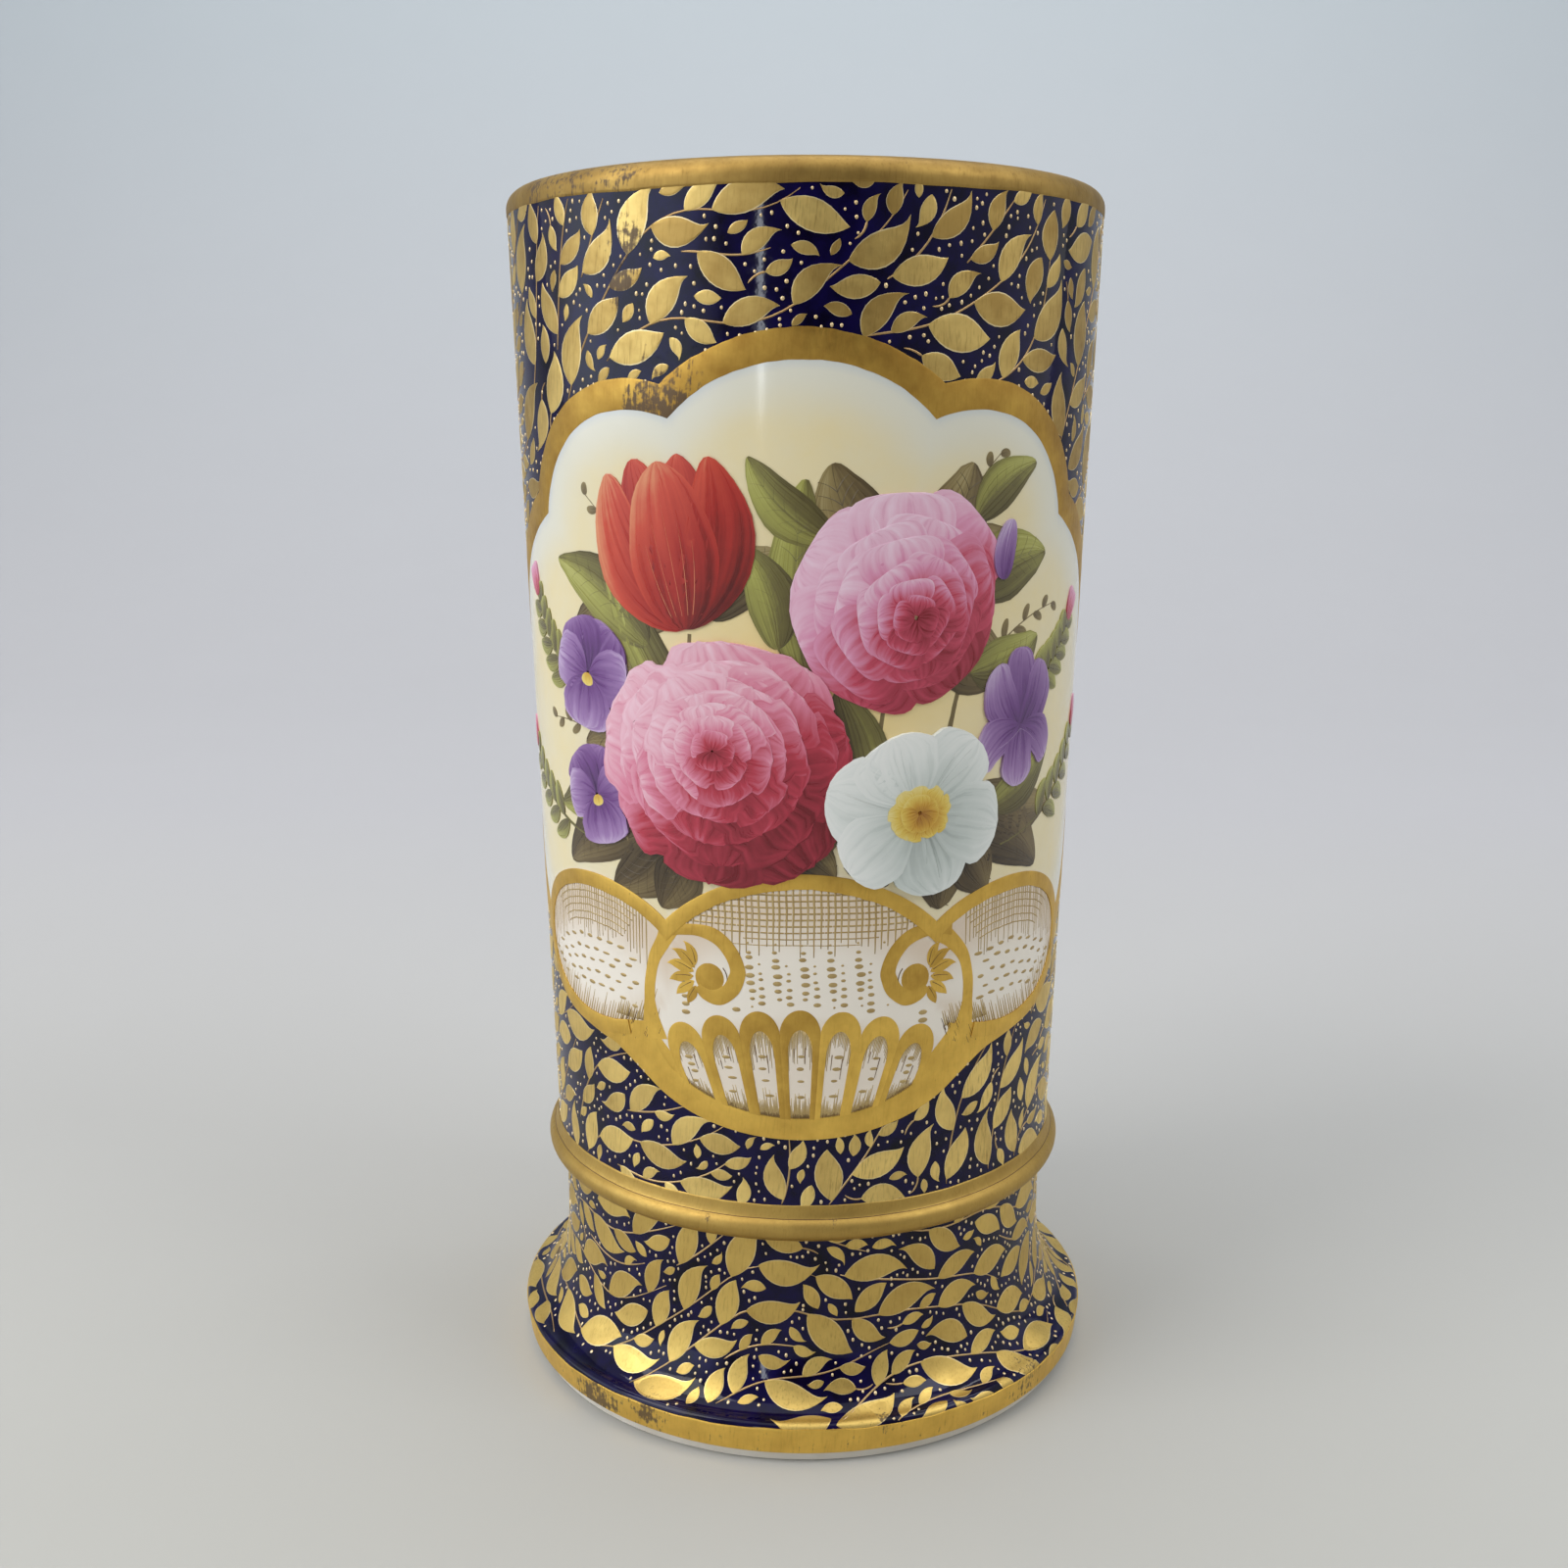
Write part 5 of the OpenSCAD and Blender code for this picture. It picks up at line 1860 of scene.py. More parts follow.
    def _side_wicker(self) -> None:
        """Side lobes: close upright hatching under the rim, rows of short dabs, and strokes from below."""
        rng, bowl = np.random.default_rng(45), self.plan.bowl
        lobe = self.plan.side.grown(-self.plan.line_w * 0.9)
        f = np.linspace(0, 1, 6)[:, None]
        unsteady = [0, 1] * tremor(np.linspace(0, 1, 40), 0.05, 50)[:, None]
        hatch, levels, dabs, rising, cuts = [], [], [], [], []
        for scroll in self.scrolls:
            flip = scroll.side.flip
            stem = spline(scroll.stem, 60)[::-1]

            def off_stem(spot: Sequence[float], gap: float) -> bool:
                """Whether a place on the right is further out than the stem by a gap."""
                return spot[0] >= np.interp(spot[1], stem[:, 1], np.abs(stem[:, 0])) + gap

            x = np.arange(13.2, 35.0, 0.42)
            x = x + rng.normal(0, 0.06, len(x))
            for place, bottom, top, length in zip(x, *lobe.span(x), rng.uniform(3.6, 6.4, len(x))):
                if np.isnan(top) or not off_stem((place, top - length), 0.3):
                    continue
                hatch.append(([place, top + 0.15] + f * [0.1, -min(length, 0.55 * (top - bottom))]) * flip)
                rise = rng.uniform(1.2, 3.2)
                rising.append(([place, bottom - 0.1] + f * [-0.35 * rise, rise]) * flip)
            levels += [(lobe.grown(-inset).arc(40, 126, 40) + unsteady) * flip
                       for inset in (0.8, 1.55, 2.3, 3.1, 3.9)]
            for row, drop in enumerate((5.6, 6.9, 8.2, 9.5, 10.8)):
                for place in np.arange(16.6 + 0.8 * (row % 2), 34.5, 1.7) + rng.normal(0, 0.15):
                    bottom, top = lobe.span(place)
                    spot = np.array([place, top - drop + rng.normal(0, 0.12)])
                    if spot[1] > bottom + 1.0 and off_stem(spot, 1.3):
                        dabs.append([*(spot * flip), rng.uniform(0.55, 0.8), rng.uniform(0.2, 0.3)])
            for place in np.linspace(self.plan.bowl_inside.a - 0.4, bowl.a + 0.6, 22):
                rise = rng.uniform(0.8, 2.6)
                rising.append(([place, bowl.y - 0.3] + f * [-0.3 * rise, rise]) * flip)
                cuts.append(([place, bowl.y - rng.uniform(0.5, 3.0)] + f * [-0.35 * rise, 0.8 * rise]) * flip)
        wicker = Shell.joined(self._pen(hatch, 0.2, 0.1, 0.05, 46), self._pen(rising, 0.24, 0.06, 0.055, 47),
                              self._pen(levels, 0.13, 0.13, 0.052, 50),
                              domes(self.ground, dabs, 0.06, 48, 10))
        wicker.piece("side_wicker", Gilt.THIN)
        self._pen(cuts, 0.08, 0.032, self.lift + 0.03, 49).piece("horn_lines", Gilt.LINES)

    def _below_rim(self, flat: Array) -> Array:
        """Distance down from the inner edge of the basket's rim, negative above it.

        Args:
            flat: the points.

        Returns:
            The distances.
        """
        lobes = [lobe.grown(-self.plan.line_w) for lobe in self.plan.basket()[:3]]
        with np.errstate(all="ignore"):
            tops = np.nan_to_num([lobe.span(flat[..., 0])[1] for lobe in lobes], nan=-1e3)
        return np.max(tops, axis=0) - flat[..., 1]


@dataclass(frozen=True)
class Petal:
    """A petal or leaf blade painted from its base to its tip, with the run of its tone."""

    base: Spot | Array
    tip: Spot | Array
    half: float
    bow: float = 0.0
    belly: float = 1.4
    blunt: float = 2.4
    ruffle: float = 0.0
    scallops: float = 3.0
    dark: float = 0.1
    bright: float = 0.85
    slant: float = 0.0
    fold: float = 0.0
    rim: float = 0.12


@dataclass(frozen=True)
class Ring:
    """A ring of a bloom: its petals' number, first angle, reach, half width, centre, shades and ruffle."""

    count: int
    start: float
    near: float
    far: float
    half: float
    shift: Spot = (0.0, 0.0)
    dark: float = 0.1
    bright: float = 0.85
    ruffle: float = 0.0
    blunt: float = 2.6


@dataclass
class Bouquet:
    """A bunch of garden flowers in enamel colours, painted in layers over the reserve.

    Curves are given by their two ends and their bow, and leaves by their two ends, half width and bow.
    """

    ground: Field
    layer: float = 0.0032
    thin_layer: float = 0.0012
    first_level: float = 0.045
    bloom_level: float = 0.16
    side_level: float = 0.118
    light: Spot = (-0.55, 0.83)
    rows: int = 15
    across: tuple[float, ...] = (0, 0.05, 0.18, 0.34, 0.5, 0.66, 0.82, 0.95, 1.0)
    seed: int = 51
    camellia: Spot = (9.6, 87.2)
    peony: Spot = (-7.4, 71.6)
    stalks: tuple[tuple[Spot, Spot, float], ...] = (
        ((-4, 62), (-10.6, 84.2), 0.10), ((2, 62), (8, 80), -0.08), ((3, 64), (-0.8, 97.6), 0.05),
        ((12, 60), (23, 70), -0.12), ((-9, 62), (-22, 74), 0.10), ((14, 64), (20.6, 90.4), 0.07))
    sprigs: tuple[tuple[Spot, Spot, float], ...] = (
        ((-15, 84), (-22.5, 97), -0.10), ((15, 90), (19.6, 101), 0.12), ((18, 80), (29, 86), 0.1),
        ((-18, 72), (-30, 74), -0.06))
    dark_leaves: tuple[tuple[Spot, Spot, float, float], ...] = (
        ((-12, 86), (-25.0, 84.0), 3.2, -0.10), ((-9, 86), (-1.2, 92.0), 3.0, 0.10),
        ((-13, 64), (-20.6, 57.7), 3.4, 0.10), ((-16, 65), (-28.0, 59.2), 3.6, -0.10),
        ((-11, 62), (-14.5, 56.4), 2.8, 0.0), ((-2, 64), (3.4, 60.3), 2.4, 0.10),
        ((14, 61), (14.3, 56.4), 2.6, 0.05), ((17, 62), (20.2, 57.6), 2.8, 0.0),
        ((17, 65), (28.4, 58.9), 3.6, 0.10), ((18, 68), (30.4, 65.0), 3.2, -0.10),
        ((5.5, 65), (8.6, 59.4), 2.6, -0.05))
    light_leaves: tuple[tuple[Spot, Spot, float, float], ...] = (
        ((0.5, 80), (0.4, 98.8), 3.0, 0.05), ((17, 88), (27.0, 91.4), 3.6, 0.10),
        ((17, 80), (26.4, 83.0), 3.2, -0.10), ((-7, 72), (-20.2, 97.2), 2.4, 0.10),
        ((-15, 83), (-27.6, 90.6), 3.2, -0.10), ((3, 93), (-4.8, 100.8), 2.4, 0.10),
        ((17, 95), (24.6, 100.2), 2.3, 0.10), ((-2, 83), (-5.4, 92.8), 2.5, -0.10),
        ((3.5, 79), (5.0, 63.0), 2.7, 0.12), ((20, 66), (29.8, 72.8), 2.6, -0.10),
        ((-19, 71), (-29.4, 65.0), 3.0, 0.12))

    def build(self) -> None:
        """Paints stems and sprigs first, then leaves, then the blooms from the back to the front."""
        self.level = self.first_level
        self.rng = np.random.default_rng(self.seed)
        self._stems()
        self._foliage()
        self.level = max(self.level, self.bloom_level)
        self._tulip(np.array([-11.0, 84.6]), np.array([-14.0, 100.6]))
        self._camellia(self.camellia)
        self._iris((24.0, 73.5))
        self._pansy("upper_pansy", (-23.0, 79.4), 5.8, -12)
        self._pansy("lower_pansy", (-22.4, 67.0), 5.2, 14)
        self._peony(self.peony)
        self._narcissus((11.6, 66.6))
        self._side_sprigs()

    def _petals(self, petals: Sequence[Petal], centre: Spot | Array | None = None, spread: float = 10.0,
                form: float = 0.2, layer: float | None = None) -> Shell:
        """Slabs of petals, each a layer above the last.

        The half width is a superellipse over the way along, which the belly moves towards the tip. The outer
        end waves with the ruffle. The tone runs from dark to bright along the petal, form adds light from
        above over the whole bloom, and a hyperbolic tangent holds the tone softly between 0.06 and 0.94.

        Args:
            petals: petals from the lowest to the highest.
            centre: middle of the bloom, for the light over its form.
            spread: size of the bloom.
            form: strength of that light.
            layer: distance of one petal above the last.

        Returns:
            The shell of all the petals.
        """
        def column(name: str) -> Array:
            """One value of all the petals, ready to broadcast over rows and places across."""
            return np.array([getattr(p, name) for p in petals], float)[:, None, None]

        dark, ruffle, scallops = column("dark"), column("ruffle"), column("scallops")
        base = column("base")
        run = column("tip") - base
        length = np.linalg.norm(run, axis=3, keepdims=True)
        across = np.array(self.across)
        t, v = eased(self.rows)[None, :, None], (1 - 2 * across)[None, None]
        phase = self.rng.uniform(0, 2 * np.pi, (len(petals), 1, 1))
        swell = (1 - np.abs(2 * t ** column("belly") - 1) ** column("blunt")) ** (1 / column("blunt"))
        half = column("half") * swell * (1 + ruffle * np.sin(2 * np.pi * scallops * t + phase) * t) + 0.012
        outer = ruffle * 0.45 * np.cos(np.pi * scallops * v + phase) * t ** 4 * np.sqrt(swell)
        bow = column("bow") * length[..., 0] * 4 * t * (1 - t)
        flat = base + run * (t + outer)[..., None] + left_of(run) / length * (half * v + bow)[..., None]
        rim = np.maximum(np.abs(v), 2 * t - 1) ** 6
        tone = dark + (column("bright") - dark) * t ** 1.1 + column("rim") * rim
        tone = tone + column("slant") * v + column("fold") * np.sign(v)
        if centre is not None:
            tone = tone + form * ((flat - np.array(centre)) @ np.array(self.light)) / spread
        tone = 0.5 + 0.44 * np.tanh((tone - 0.5) / 0.44)
        layer = layer or self.layer
        lifts = self.level + layer * np.arange(len(petals))[:, None, None]
        self.level = float(lifts.max()) + layer
        lifts = np.broadcast_to(lifts, flat.shape[:3])
        shell = slabs(self.ground, flat[:, :, 0], flat[:, :, -1], lifts, across=across, tone=tone,
                      seed=self._number())
        tops = shell.points.reshape(len(petals), self.rows, len(across) + 2, 3)[:, :, :-2]
        tops[:] = self.ground.wrap(flat, lifts)
        return shell

    def _number(self) -> int:
        """A new seed."""
        return int(self.rng.integers(1 << 30))

    def _rosette(self, centre: Spot, rings: Sequence[Ring], squash: float, lean: float) -> list[Petal]:
        """Petals in rings from the outermost in, on a circle seen at a slant: squashed on the leaning axis.

        Args:
            centre: middle of the bloom.
            rings: its rings.
            squash: height of the circle over its width.
            lean: angle of the axis in degrees.

        Returns:
            The petals, every second one of a ring before the others.
        """
        petals, rng = [], self.rng
        c, n = pointing(np.radians(lean))
        for ring in rings:
            middle = np.array(centre) + ring.shift
            for k in [*range(0, ring.count, 2), *range(1, ring.count, 2)]:
                turn = np.radians(ring.start + 360 * k / ring.count + rng.uniform(-6, 6))
                x, y = pointing(turn) * [1, squash]
                out = np.array([c * x - n * y, n * x + c * y])
                far = ring.far * rng.uniform(0.94, 1.05)
                facing = 0.12 * float(out @ np.array(self.light))
                petals.append(Petal(middle + ring.near * out, middle + far * out,
                                    ring.half * rng.uniform(0.92, 1.08), rng.uniform(-0.07, 0.07), 1.5,
                                    ring.blunt, ring.ruffle, 2.5, ring.dark + facing, ring.bright + facing,
                                    rng.uniform(-0.08, 0.08)))
        return petals

    def _lines(self, paths: Sequence[Array], width: float, end: float, tone: float) -> Shell:
        """Fine strokes that taper from a width to a share of it at their ends."""
        taper = width * np.linspace(1, end, len(paths[0]))
        return strokes(self.ground, paths, taper[None], self.level, NARROW, tone, self._number())

    @staticmethod
    def _curve(start: Spot | Array, end: Spot | Array, bow: float, rows: int = 16) -> Array:
        """A path bowed to its left by a share of its length, as a parabola."""
        t, run = np.linspace(0, 1, rows)[:, None], np.subtract(end, start)
        return np.array(start) + run * t + left_of(run) * (4 * bow * t * (1 - t))

    @staticmethod
    def _blades(path: Array, places: Sequence[int], swing: float, length: float, less: float,
                blade: Petal) -> list[Petal]:
        """Blades along a path, by turns to its two sides.

        Args:
            path: the path.
            places: numbers of its points that blades stand on.
            swing: angle of the first blade to the path.
            length: length of a blade at the path's start.
            less: how much shorter a blade gets at each further point.
            blade: petal whose form and tone they have.

        Returns:
            The blades.
        """
        blades = []
        for k, n in enumerate(places):
            run = path[n] - path[n - 1]
            turn = np.arctan2(run[1], run[0]) + swing * (-1) ** k
            blades.append(replace(blade, base=path[n], tip=path[n] + (length - less * n) * pointing(turn)))
        return blades

    @staticmethod
    def _paint(name: str, paint: Paint, *shells: Shell) -> None:
        """Makes one piece of the shells in an enamel colour."""
        Shell.joined(*shells).piece(name, paint, crease=40)

    def _stems(self) -> None:
        """Stalks of the flowers and light sprigs of grass between them."""
        stalks = self._lines([self._curve(*stalk) for stalk in self.stalks], 0.75, 0.55, 0.45)
        paths = [self._curve(*sprig) for sprig in self.sprigs]
        blade = Petal((0, 0), (0, 0), 0.42, 0.05, 1.0, 2.0, dark=0.35, bright=0.6)
        blades = [b for path in paths for b in self._blades(path, range(3, 16, 2), -0.75, 2.6, 0.09, blade)]
        sprigs = self._lines(paths, 0.26, 0.5, 0.5)
        self._paint("flower_stalks", Paint.BROWN, stalks, sprigs, self._petals(blades, layer=self.thin_layer))

    def _side_sprigs(self) -> None:
        """Leafy sprigs with small buds, which reach from behind the outer flowers round the panel's sides."""
        self.level = self.side_level
        paths, blades, buds = [], [], []
        blade = Petal((0, 0), (0, 0), 0.95, 0.08, 1.0, 1.7, dark=0.25, bright=0.6, fold=0.12)
        for side in Side:
            rise = 1.2 * side.value
            for a, b, bow in (((22, 62), (38.6, 71 + rise), -0.10), ((22, 77), (33.6, 85.5 - rise), -0.12)):
                path = self._curve(a, b, bow) * side.flip
                paths.append(path)
                blades += self._blades(path, range(5, 15), 0.8, 5.0, 0.2, blade)
                run = (path[-1] - path[-2]) / np.linalg.norm(path[-1] - path[-2])
                for spread in (-0.9, 0.9, 0.0):
                    tip = path[-1] + 3.0 * run + spread * left_of(run)
                    buds.append(Petal(path[-1] - 0.4 * run, tip, 0.95, -0.1 * spread, 0.9, 1.9,
                                      dark=0.15, bright=0.7))
        lines = self._lines(paths, 0.4, 0.5, 0.35)
        self._paint("side_sprigs", Paint.GREEN, lines, self._petals(blades, layer=self.thin_layer))
        self._paint("side_buds", Paint.ROSE, self._petals(buds, layer=self.thin_layer))

    @staticmethod
    def _collar(centre: Spot, reach: float,
                turns: Sequence[float]) -> list[tuple[Array, Array, float, float]]:
        """Leaves that stand out from behind a bloom.

        Args:
            centre: middle of the bloom.
            reach: its half width.
            turns: angles of the leaves in degrees.

        Returns:
            The leaves.
        """
        ways = [pointing(np.radians(turn)) for turn in turns]
        return [(centre + 0.5 * reach * out, centre + (reach + 4.2) * out, 3.6, 0.1 - 0.2 * (n % 2))
                for n, out in enumerate(ways)]

    def _veins(self, start: Spot | Array, end: Spot | Array, half: float, bow: float) -> list[Array]:
        """Middle rib of a leaf and five pairs of side veins.

        Args:
            start: base of the leaf.
            end: its tip.
            half: its half width.
            bow: its bow.

        Returns:
            The veins' paths.
        """
        rib = self._curve(start, end, bow)
        veins = [rib]
        for n in (3, 5, 7, 9, 11):
            run = (rib[n + 1] - rib[n]) / np.linalg.norm(rib[n + 1] - rib[n])
            reach = half * (0.75 - 0.05 * abs(n - 6))
            for side in Side:
                out = reach * (0.8 * side.value * left_of(run) + 0.75 * run)
                veins.append(self._curve(rib[n], rib[n] + out, -0.08 * side.value))
        return veins

    def _foliage(self) -> None:
        """Leaves with notched edges and fine veins, one half lighter, and darker towards the basket."""
        collars = [*self._collar(self.camellia, 10.5, (18, 62, 118, -32)),
                   *self._collar(self.peony, 12.5, (132, 178, 205))]
        for name, leaves, paint in (("dark_leaves", [*collars, *self.dark_leaves], Paint.BROWN),
                                    ("light_leaves", self.light_leaves, Paint.GREEN)):
            shades = [float(smooth_step(68.0, 60.0, tip[1])) for _, tip, _, _ in leaves]
            blades = [Petal(*leaf, 0.8, 1.5, 0.07, 9.0, 0.28 - 0.24 * shade, 0.66 - 0.30 * shade,
                            0.05, 0.14, -0.2) for leaf, shade in zip(leaves, shades)]
            shell = self._petals(blades, layer=self.thin_layer)
            veins = [vein for leaf in leaves for vein in self._veins(*leaf)]
            self._paint(name, paint, shell, self._lines(veins, 0.15, 0.4, 0.2))

    def _tulip(self, base: Array, top: Array) -> None:
        """Cup of a tulip: two petals behind, two at the sides and one in front, with a flame up each.

        Args:
            base: foot of the cup.
            top: middle of its top.
        """
        run = top - base
        aside = left_of(run) / np.linalg.norm(run)
        plan = ((2.2, 0.02, 3.3, 0.02, 0.95, 1.75, 0.03, 2, 0.02, 0.42, -0.1),
                (-2.6, 0.0, 3.3, -0.02, 0.95, 1.75, 0.03, 2, 0.04, 0.44, 0.1),
                (5.6, -0.03, 3.5, 0.13, 0.9, 1.75, 0.04, 2, 0.22, 0.72, 0.22),
                (-5.6, -0.05, 3.5, -0.13, 0.9, 1.75, 0.04, 2, 0.06, 0.48, 0.12),
                (-0.4, -0.02, 4.6, 0.0, 0.9, 1.8, 0.04, 2, 0.22, 0.66, 0.16))
        petals = [Petal(base, top + out * aside + up * run, *form) for out, up, *form in plan]
        cup = self._petals(petals, (base + top) / 2, 9, 0.16)
        flames = [self._curve(base + 0.08 * run + n * aside, base + f * run + 2.2 * n * aside, 0.03 * n)
                  for n, f in ((-1.1, 0.5), (-0.6, 0.62), (0, 0.74), (0.6, 0.64), (1.1, 0.52))]
        self._paint("tulip", Paint.RED, cup, self._lines(flames, 0.5, 0.2, 0.95))

    def _camellia(self, centre: Spot) -> None:
        """Camellia: six rings of smooth round petals, laid like tiles towards the heart.

        Args:
            centre: middle of the bloom.
        """
        rings = [Ring(7, 10, 3.5, 11.0, 5.2, (0, 0), 0.30, 0.56),
                 Ring(7, 36, 2.8, 9.2, 4.6, (0.3, -0.3), 0.24, 0.62),
                 Ring(6, 5, 2.0, 7.4, 4.0, (0.6, -0.6), 0.20, 0.68),
                 Ring(6, 35, 1.4, 5.6, 3.1, (0.9, -0.9), 0.14, 0.70),
                 Ring(5, 0, 0.7, 3.9, 2.2, (1.1, -1.2), 0.06, 0.66),
                 Ring(4, 40, 0.2, 2.4, 1.5, (1.2, -1.4), 0.0, 0.5)]
        petals = self._rosette(centre, rings, 0.88, 35)
        self._paint("camellia", Paint.ROSE, self._petals(petals, centre, 11.0, 0.54))

    def _peony(self, centre: Spot) -> None:
        """Peony: wide ruffled outer petals round a full heart of narrower ones.

        Args:
            centre: middle of the bloom.
        """
        rings = [Ring(9, 0, 4.0, 13.0, 5.0, (0, 0), 0.12, 0.46, 0.13, 2.8),
                 Ring(8, 20, 3.2, 11.0, 4.8, (-0.2, 0.2), 0.10, 0.54, 0.14, 2.8),
                 Ring(8, 0, 2.5, 9.0, 4.0, (-0.5, 0.5), 0.10, 0.62, 0.15),
                 Ring(7, 25, 1.8, 7.2, 3.4, (-0.7, 0.8), 0.12, 0.70, 0.16),
                 Ring(6, 5, 1.2, 5.4, 2.7, (-0.9, 1.1), 0.14, 0.74, 0.12),
                 Ring(5, 40, 0.6, 3.8, 2.0, (-1.0, 1.3), 0.06, 0.72, 0.12),
                 Ring(4, 10, 0.1, 2.2, 1.3, (-1.0, 1.4), 0.0, 0.5, 0.1)]
        petals = self._rosette(centre, rings, 0.90, -20)
        self._paint("peony", Paint.PINK, self._petals(petals, centre, 13.0, 0.58))

    def _narcissus(self, centre: Spot) -> None:
        """Narcissus: six white petals in two layers, a frilled yellow cup and dark anthers.

        Args:
            centre: middle of the bloom.
        """
        rings = [Ring(3, 30, 1.0, 9.6, 4.2, dark=0.16, bright=0.72, blunt=2.0, ruffle=0.06),
                 Ring(3, 90, 1.0, 9.4, 4.1, dark=0.20, bright=0.84, blunt=2.0, ruffle=0.06)]
        petals = self._rosette(centre, rings, 0.92, 15)
        shell = self._petals(petals, centre, 9, 0.12)
        folds = [self._curve(p.base, p.base + (p.tip - p.base) * f + off, 0.04)
                 for p in petals for f, off in ((0.82, (0.3, 0.2)), (0.66, (0.9, -0.5)), (0.66, (-0.8, 0.6)))]
        self._paint("narcissus", Paint.WHITE, shell, self._lines(folds, 0.2, 0.3, 0.12))
        rings = [Ring(9, 0, 0.5, 3.2, 1.1, (0, 0), 0.0, 0.85, 0.2),
                 Ring(7, 20, 0.2, 2.1, 0.9, (0, 0.1), 0.05, 0.6)]
        cup = self._petals(self._rosette(centre, rings, 0.9, 15), centre, 3.2, 0.1)
        anthers = [self._curve(centre, centre + pointing(a) * [1.1, 1.0], 0.1)
                   for a in np.linspace(0.3, 6.0, 6)]
        self._paint("narcissus_cup", Paint.YELLOW, cup, self._lines(anthers, 0.3, 0.7, 0.02))

    def _pansy(self, name: str, centre: Spot, size: float, lean: float) -> None:
        """Pansy: two petals behind, two at the sides and a broad one below, with dark rays and a yellow eye.

        Args:
            name: name of the piece.
            centre: middle of the bloom.
            size: length of its longest petal.
            lean: angle by which it leans, in degrees.
        """
        def out(turn: float, reach: float) -> Array:
            """Place at an angle and a share of the size from the middle."""
            return centre + reach * size * pointing(np.radians(turn + lean))

        plan = ((62, 1.0, 0.56, 0.10, 0.48), (118, 1.0, 0.56, 0.04, 0.44), (8, 0.92, 0.50, 0.24, 0.78),
                (172, 0.92, 0.50, 0.26, 0.82), (270, 0.98, 0.66, 0.22, 0.86))
        petals = [Petal(out(turn, 0.04), out(turn, reach), half * size, 0, 1.5, 2.4, 0.05, 3, dark, bright,
                        0.05) for turn, reach, half, dark, bright in plan]
        shell = self._petals(petals, centre, size, 0.08)
        rays = [self._curve(out(turn, 0.12), out(turn, 0.42), 0)
                for turn in (-16, 0, 14, 166, 180, 194, 246, 258, 270, 282, 294)]
        self._paint(name, Paint.PURPLE, shell, self._lines(rays, 0.22, 0.3, 0.0))
        eye = [Petal(out(turn, 0.0), out(turn, 0.22), 0.1 * size, dark=0.35, bright=0.8)
               for turn in (250, 290, 270)]
        self._paint(f"{name}_eye", Paint.YELLOW, self._petals(eye))

    def _iris(self, centre: Spot) -> None:
        """Iris: three standards above, three falls below with a pale stripe, and a bud higher up the stalk.

        Args:
            centre: middle of the bloom.
        """
        plan = (((0, 0), (-0.3, 8.6), 2.5, 0, 1.2, 2.2, 0.08, 2, 0.04, 0.55),
                ((0, 0), (-3.6, 7.0), 2.2, 0.14, 1.2, 2.2, 0.08, 2, 0.12, 0.74, 0.08),
                ((0, 0), (3.2, 7.0), 2.2, -0.14, 1.2, 2.2, 0.08, 2, 0.08, 0.62, -0.08),
                ((0, 0.6), (-5.4, -3.0), 2.0, -0.18, 1.4, 2.3, 0.08, 2, 0.20, 0.86),
                ((0, 0.6), (4.8, -3.2), 2.0, 0.18, 1.4, 2.3, 0.08, 2, 0.16, 0.76),
                ((0, 0.8), (-0.2, -5.6), 2.3, 0, 1.4, 2.3, 0.08, 2, 0.22, 0.88))
        petals = [Petal(np.add(centre, base), np.add(centre, tip), *form) for base, tip, *form in plan]
        petals.append(Petal((20.4, 89.0), (21.4, 94.8), 1.3, 0.05, 0.9, 2.0,
                            dark=0.1, bright=0.7, slant=0.15))
        shell = self._petals(petals, centre, 8, 0.08)
        stripes = [self._curve(np.add(centre, (0, 0.3)), np.add(centre, end), 0.05)
                   for end in ((-3.2, -1.4), (2.9, -1.5), (-0.1, -3.2))]
        self._paint("iris", Paint.PURPLE, shell, self._lines(stripes, 0.55, 0.2, 0.95))


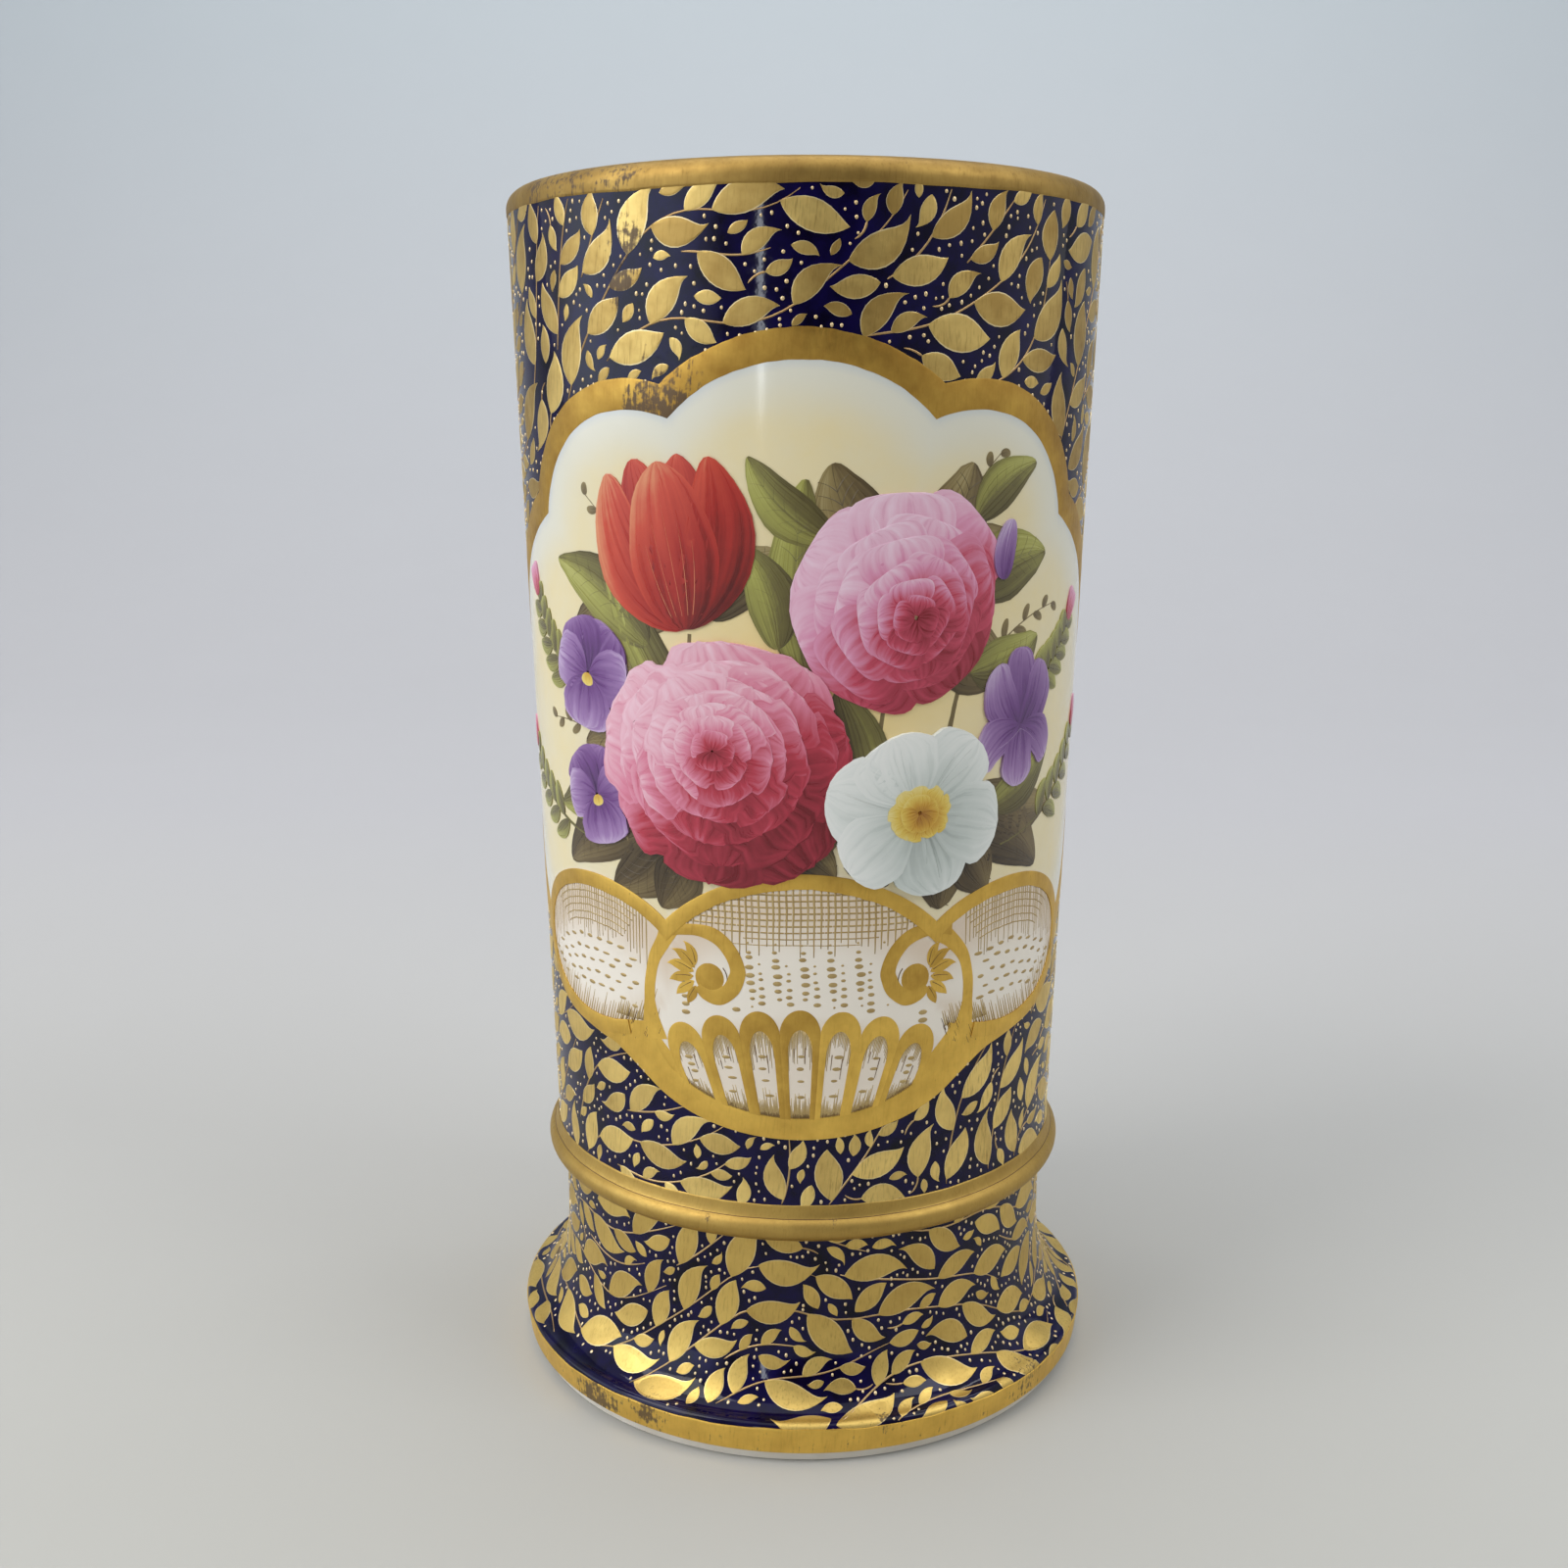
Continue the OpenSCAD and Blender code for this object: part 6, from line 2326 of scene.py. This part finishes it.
@dataclass
class Studio:
    """Pale floor swept up into a backdrop, soft lights, and the camera at the photograph's place."""

    distance: float = 182.6
    height: float = 104.3
    pitch: float = 12.4
    orbit: float = 1.2
    aside: float = -2.2
    focal_px: float = 1685.0
    image_px: float = 1600.0
    sensor: float = 36.0
    sweep_r: float = 1150.0
    surround_r: float = 7000.0
    surround_steps: int = 64
    near_floor: Colour = (0.414, 0.408, 0.374)
    far_floor: Colour = (0.402, 0.395, 0.406)
    backdrop: Colour = (0.444, 0.490, 0.510)
    paper: Colour = (0.7, 0.7, 0.7)

    def build(self) -> None:
        """Makes the floor, the surround, the lights, the room and the camera."""
        self._floor()
        self._surround()
        self._lights()
        self._room()
        self._camera()
        bpy.context.scene.view_settings.view_transform = "Standard"

    @staticmethod
    def _place(name: str, data: bpy.types.ID) -> bpy.types.Object:
        """A new object in the scene.

        Args:
            name: its name.
            data: its mesh, light or camera.

        Returns:
            The object.
        """
        thing = bpy.data.objects.new(name, data)
        bpy.context.scene.collection.objects.link(thing)
        return thing

    def _sheet(self, name: str, points: Array, quads: Array, material: Finish) -> bpy.types.Object:
        """A smooth sheet of the stage.

        Args:
            name: its name.
            points: its points in millimetres.
            quads: its cells.
            material: its finish.

        Returns:
            The object.
        """
        mesh = bpy.data.meshes.new(name)
        mesh.from_pydata((points * MM).tolist(), [], quads.tolist())
        mesh.polygons.foreach_set("use_smooth", np.ones(len(mesh.polygons), bool))
        mesh.materials.append(material)
        return self._place(name, mesh)

    def _floor(self) -> None:
        """Sweep: a line from the floor through a quarter circle up the backdrop, carried sideways."""
        bend = arc((420.0, self.sweep_r), self.sweep_r, self.sweep_r, -90, 0, 48)
        line = np.concatenate([[[-2500.0, 0.0]], bend, [[1570.0, 2600.0]]])
        x = np.linspace(-2600, 2600, 9)
        y, z = [np.tile(part, len(x)) for part in line.T]
        points = np.stack([np.repeat(x, len(line)), y, z], -1)
        material, graph = new_finish("pale_paper")
        _, away, up = graph.parts(graph.millimetres())
        # Painted light and shade: the floor a little darker and bluer further back, the backdrop lighter and
        # bluer higher up.
        colour = graph.blend(graph.range(away, -80.0, 260.0), self.near_floor, self.far_floor)
        colour = graph.blend(graph.range(up, 0.0, 600.0), colour, self.backdrop)
        colour = graph.blend(graph.range(mottle(graph, 60.0, 0.6), 0.0, 1.0, 0.0, 0.06), colour, self.paper)
        graph.feed(graph.shader, {"Base Color": colour, "Roughness": 0.7})
        sweep = self._sheet("sweep", points, grid_quads(len(x), len(line))[:, ::-1], material)

    def _surround(self) -> None:
        """A plain pale wall far round the stage that glows with its own painted light, lighter and bluer
        higher up; only the camera sees it, and it lights nothing.
        """
        turn = np.arange(self.surround_steps) * 2 * np.pi / self.surround_steps
        ring = self.surround_r * np.stack([np.sin(turn), -np.cos(turn)], -1)
        points = np.concatenate([np.repeat(ring, 2, 0), np.tile([[-500.0], [8000.0]], (len(ring), 1))], 1)
        material, graph = new_finish("pale_surround")
        height = graph.range(graph.parts(graph.millimetres())[2], 0.0, 3000.0)
        graph.feed(graph.shader, {"Emission Color": graph.blend(height, self.far_floor, self.backdrop),
                                  "Emission Strength": 1.0, "Base Color": (0.0, 0.0, 0.0, 1.0),
                                  "Specular IOR Level": 0.0})
        wall = self._sheet("surround", points, grid_quads(len(ring), 2, True), material)
        for ray in ("diffuse", "glossy", "transmission", "volume_scatter", "shadow"):
            setattr(wall, f"visible_{ray}", False)

    def _lights(self) -> None:
        """Windows on both sides, light above and on the backdrop, and a strip for the highlight."""
        lamps = (("window", (-560, -330, 620), (420, 520), (0, 0, 65), 3.4, (1.0, 0.98, 0.95)),
                 ("far_window", (620, -300, 640), (420, 420), (0, 0, 65), 2.2, (0.95, 0.98, 1.0)),
                 ("ceiling", (0, -60, 1100), (1200, 1200), (0, 0, 65), 5.0, (1.0, 1.0, 1.0)),
                 ("backdrop_light", (0, 350, 1150), (1600, 300), (0, 1400, 420), 11.0, (0.96, 0.98, 1.0)),
                 ("window_strip", (-410, -1480, 260), (55, 420), (0, 0, 100), 0.9, (0.92, 0.97, 1.0)))
        for name, place, size, target, power, colour in lamps:
            lamp = bpy.data.lights.new(name, "AREA")
            lamp.shape, lamp.size, lamp.size_y = "RECTANGLE", size[0] * MM, size[1] * MM
            lamp.energy, lamp.color = power, colour
            thing = self._place(name, lamp)
            thing.location = Vector(place) * MM
            thing.rotation_euler = (Vector(target) * MM - thing.location).to_track_quat("-Z", "Y").to_euler()

    def _room(self, pane_power: float = 1.9) -> None:
        """A room with a dim front, pale sides and a bright pane on the left.

        Args:
            pane_power: strength of the pane.
        """
        world = bpy.data.worlds.new("room")
        world.use_nodes = True
        graph = Graph(world.node_tree)
        sight = graph.add("TexCoord").outputs["Generated"]
        across, away, _ = graph.parts(sight)
        front = graph.range(away, -0.95, 0.1, 0.08, 0.55)
        left, right = graph.range(across, 0.0, -0.95, 0.0, 0.30), graph.range(across, 0.3, 0.95, 0.0, 0.32)
        towards = graph.add("VectorMath", {0: sight, 1: (-0.927, -0.375, 0.0)}, operation="DOT_PRODUCT")
        pane = graph.range(towards.outputs["Value"], 0.78, 0.94, 0.0, pane_power)
        tint = graph.blend(graph.range(pane, 0.0, pane_power), (0.93, 0.96, 1.0), (0.87, 0.97, 1.12))
        sides = graph.maths("ADD", graph.maths("ADD", left, right), pane)
        room = world.node_tree.nodes["Background"]
        graph.feed(room, {"Color": tint, "Strength": graph.maths("ADD", front, sides)})
        bpy.context.scene.world = world

    def _camera(self) -> None:
        """Camera on the photograph's line of sight."""
        lens = bpy.data.cameras.new("camera")
        lens.sensor_width = self.sensor
        lens.lens = self.focal_px / self.image_px * self.sensor
        lens.clip_start = 10 * MM
        turn = np.radians(self.orbit)
        right, back = np.array([np.cos(turn), np.sin(turn), 0]), np.array([np.sin(turn), -np.cos(turn), 0])
        camera = self._place("camera", lens)
        camera.location = (self.distance * back + self.aside * right + [0, 0, self.height]) * MM
        camera.rotation_euler = (np.radians(90 - self.pitch), 0, turn)
        bpy.context.scene.camera = camera


def main() -> None:
    """Builds the vase piece by piece, then the studio."""
    logging.basicConfig(level=logging.INFO, format="%(name)s: %(message)s")
    skin, plan = Skin(), PanelPlan()
    start = skin.start
    wall = Field(skin, float(skin.wall_r(plan.flank.y)), start["wall"], skin.cove_z,
                 (start["lip"] - start["wall"]) / (skin.lip_z - skin.cove_z))
    foot = Field(skin, 29.2)
    bands = GiltBands(skin)
    Vessel(skin).build()
    bands.build()
    Panel(plan, wall).build()
    Bouquet(wall).build()

    def on_panel(flat: Array) -> Array:
        """Whether points of the wall lie on the panel, frame or basket, short of a tuck under the gilding."""
        grown = [lobe.grown(plan.frame_w - 0.5) for lobe in plan.upper()]
        return plan.depth(flat, grown + [lobe.grown(-0.4) for lobe in plan.basket()[1:]]) > 0

    def worn_edge(flat: Array) -> Array:
        """Whether points lie on the strip over the foot's edge, at the front left, where leaves are worn off.

        Args:
            flat: points of the foot.

        Returns:
            A truth value for each point.
        """
        turn = np.degrees(flat[..., 0] / foot.girth)
        tall = np.interp(turn, [-64, -56, -40, -30, -24, -18, -10, -4], [0, 2.4, 2.0, 0.3, 0.3, 2.0, 2.2, 0])
        return flat[..., 1] < start["edge"] + 0.2 + tall

    wall_low = skin.cove_z - (start["wall"] - bands.cove_high) / wall.stretch
    GiltGround("wall", wall, Gilt.LEAF, on_panel, wall_low, skin.vase_h - 2.5, leaf_l=5.7, leaf_w=2.85,
               row_gap=6.6, heading=40.0, sway=30.0, seed=5, low_size=0.95).build()
    GiltGround("foot", foot, Gilt.FOOT_LEAF, worn_edge, start["edge"] + 0.2, start["ridge"] - 0.1,
               leaf_l=6.0, leaf_w=2.85, row_gap=6.0, heading=14.0, sway=24.0, seed=8, gap=0.12,
               leaf_rows=17, leaf_cols=11).build()
    Studio().build()


if __name__ == "__main__":
    main()
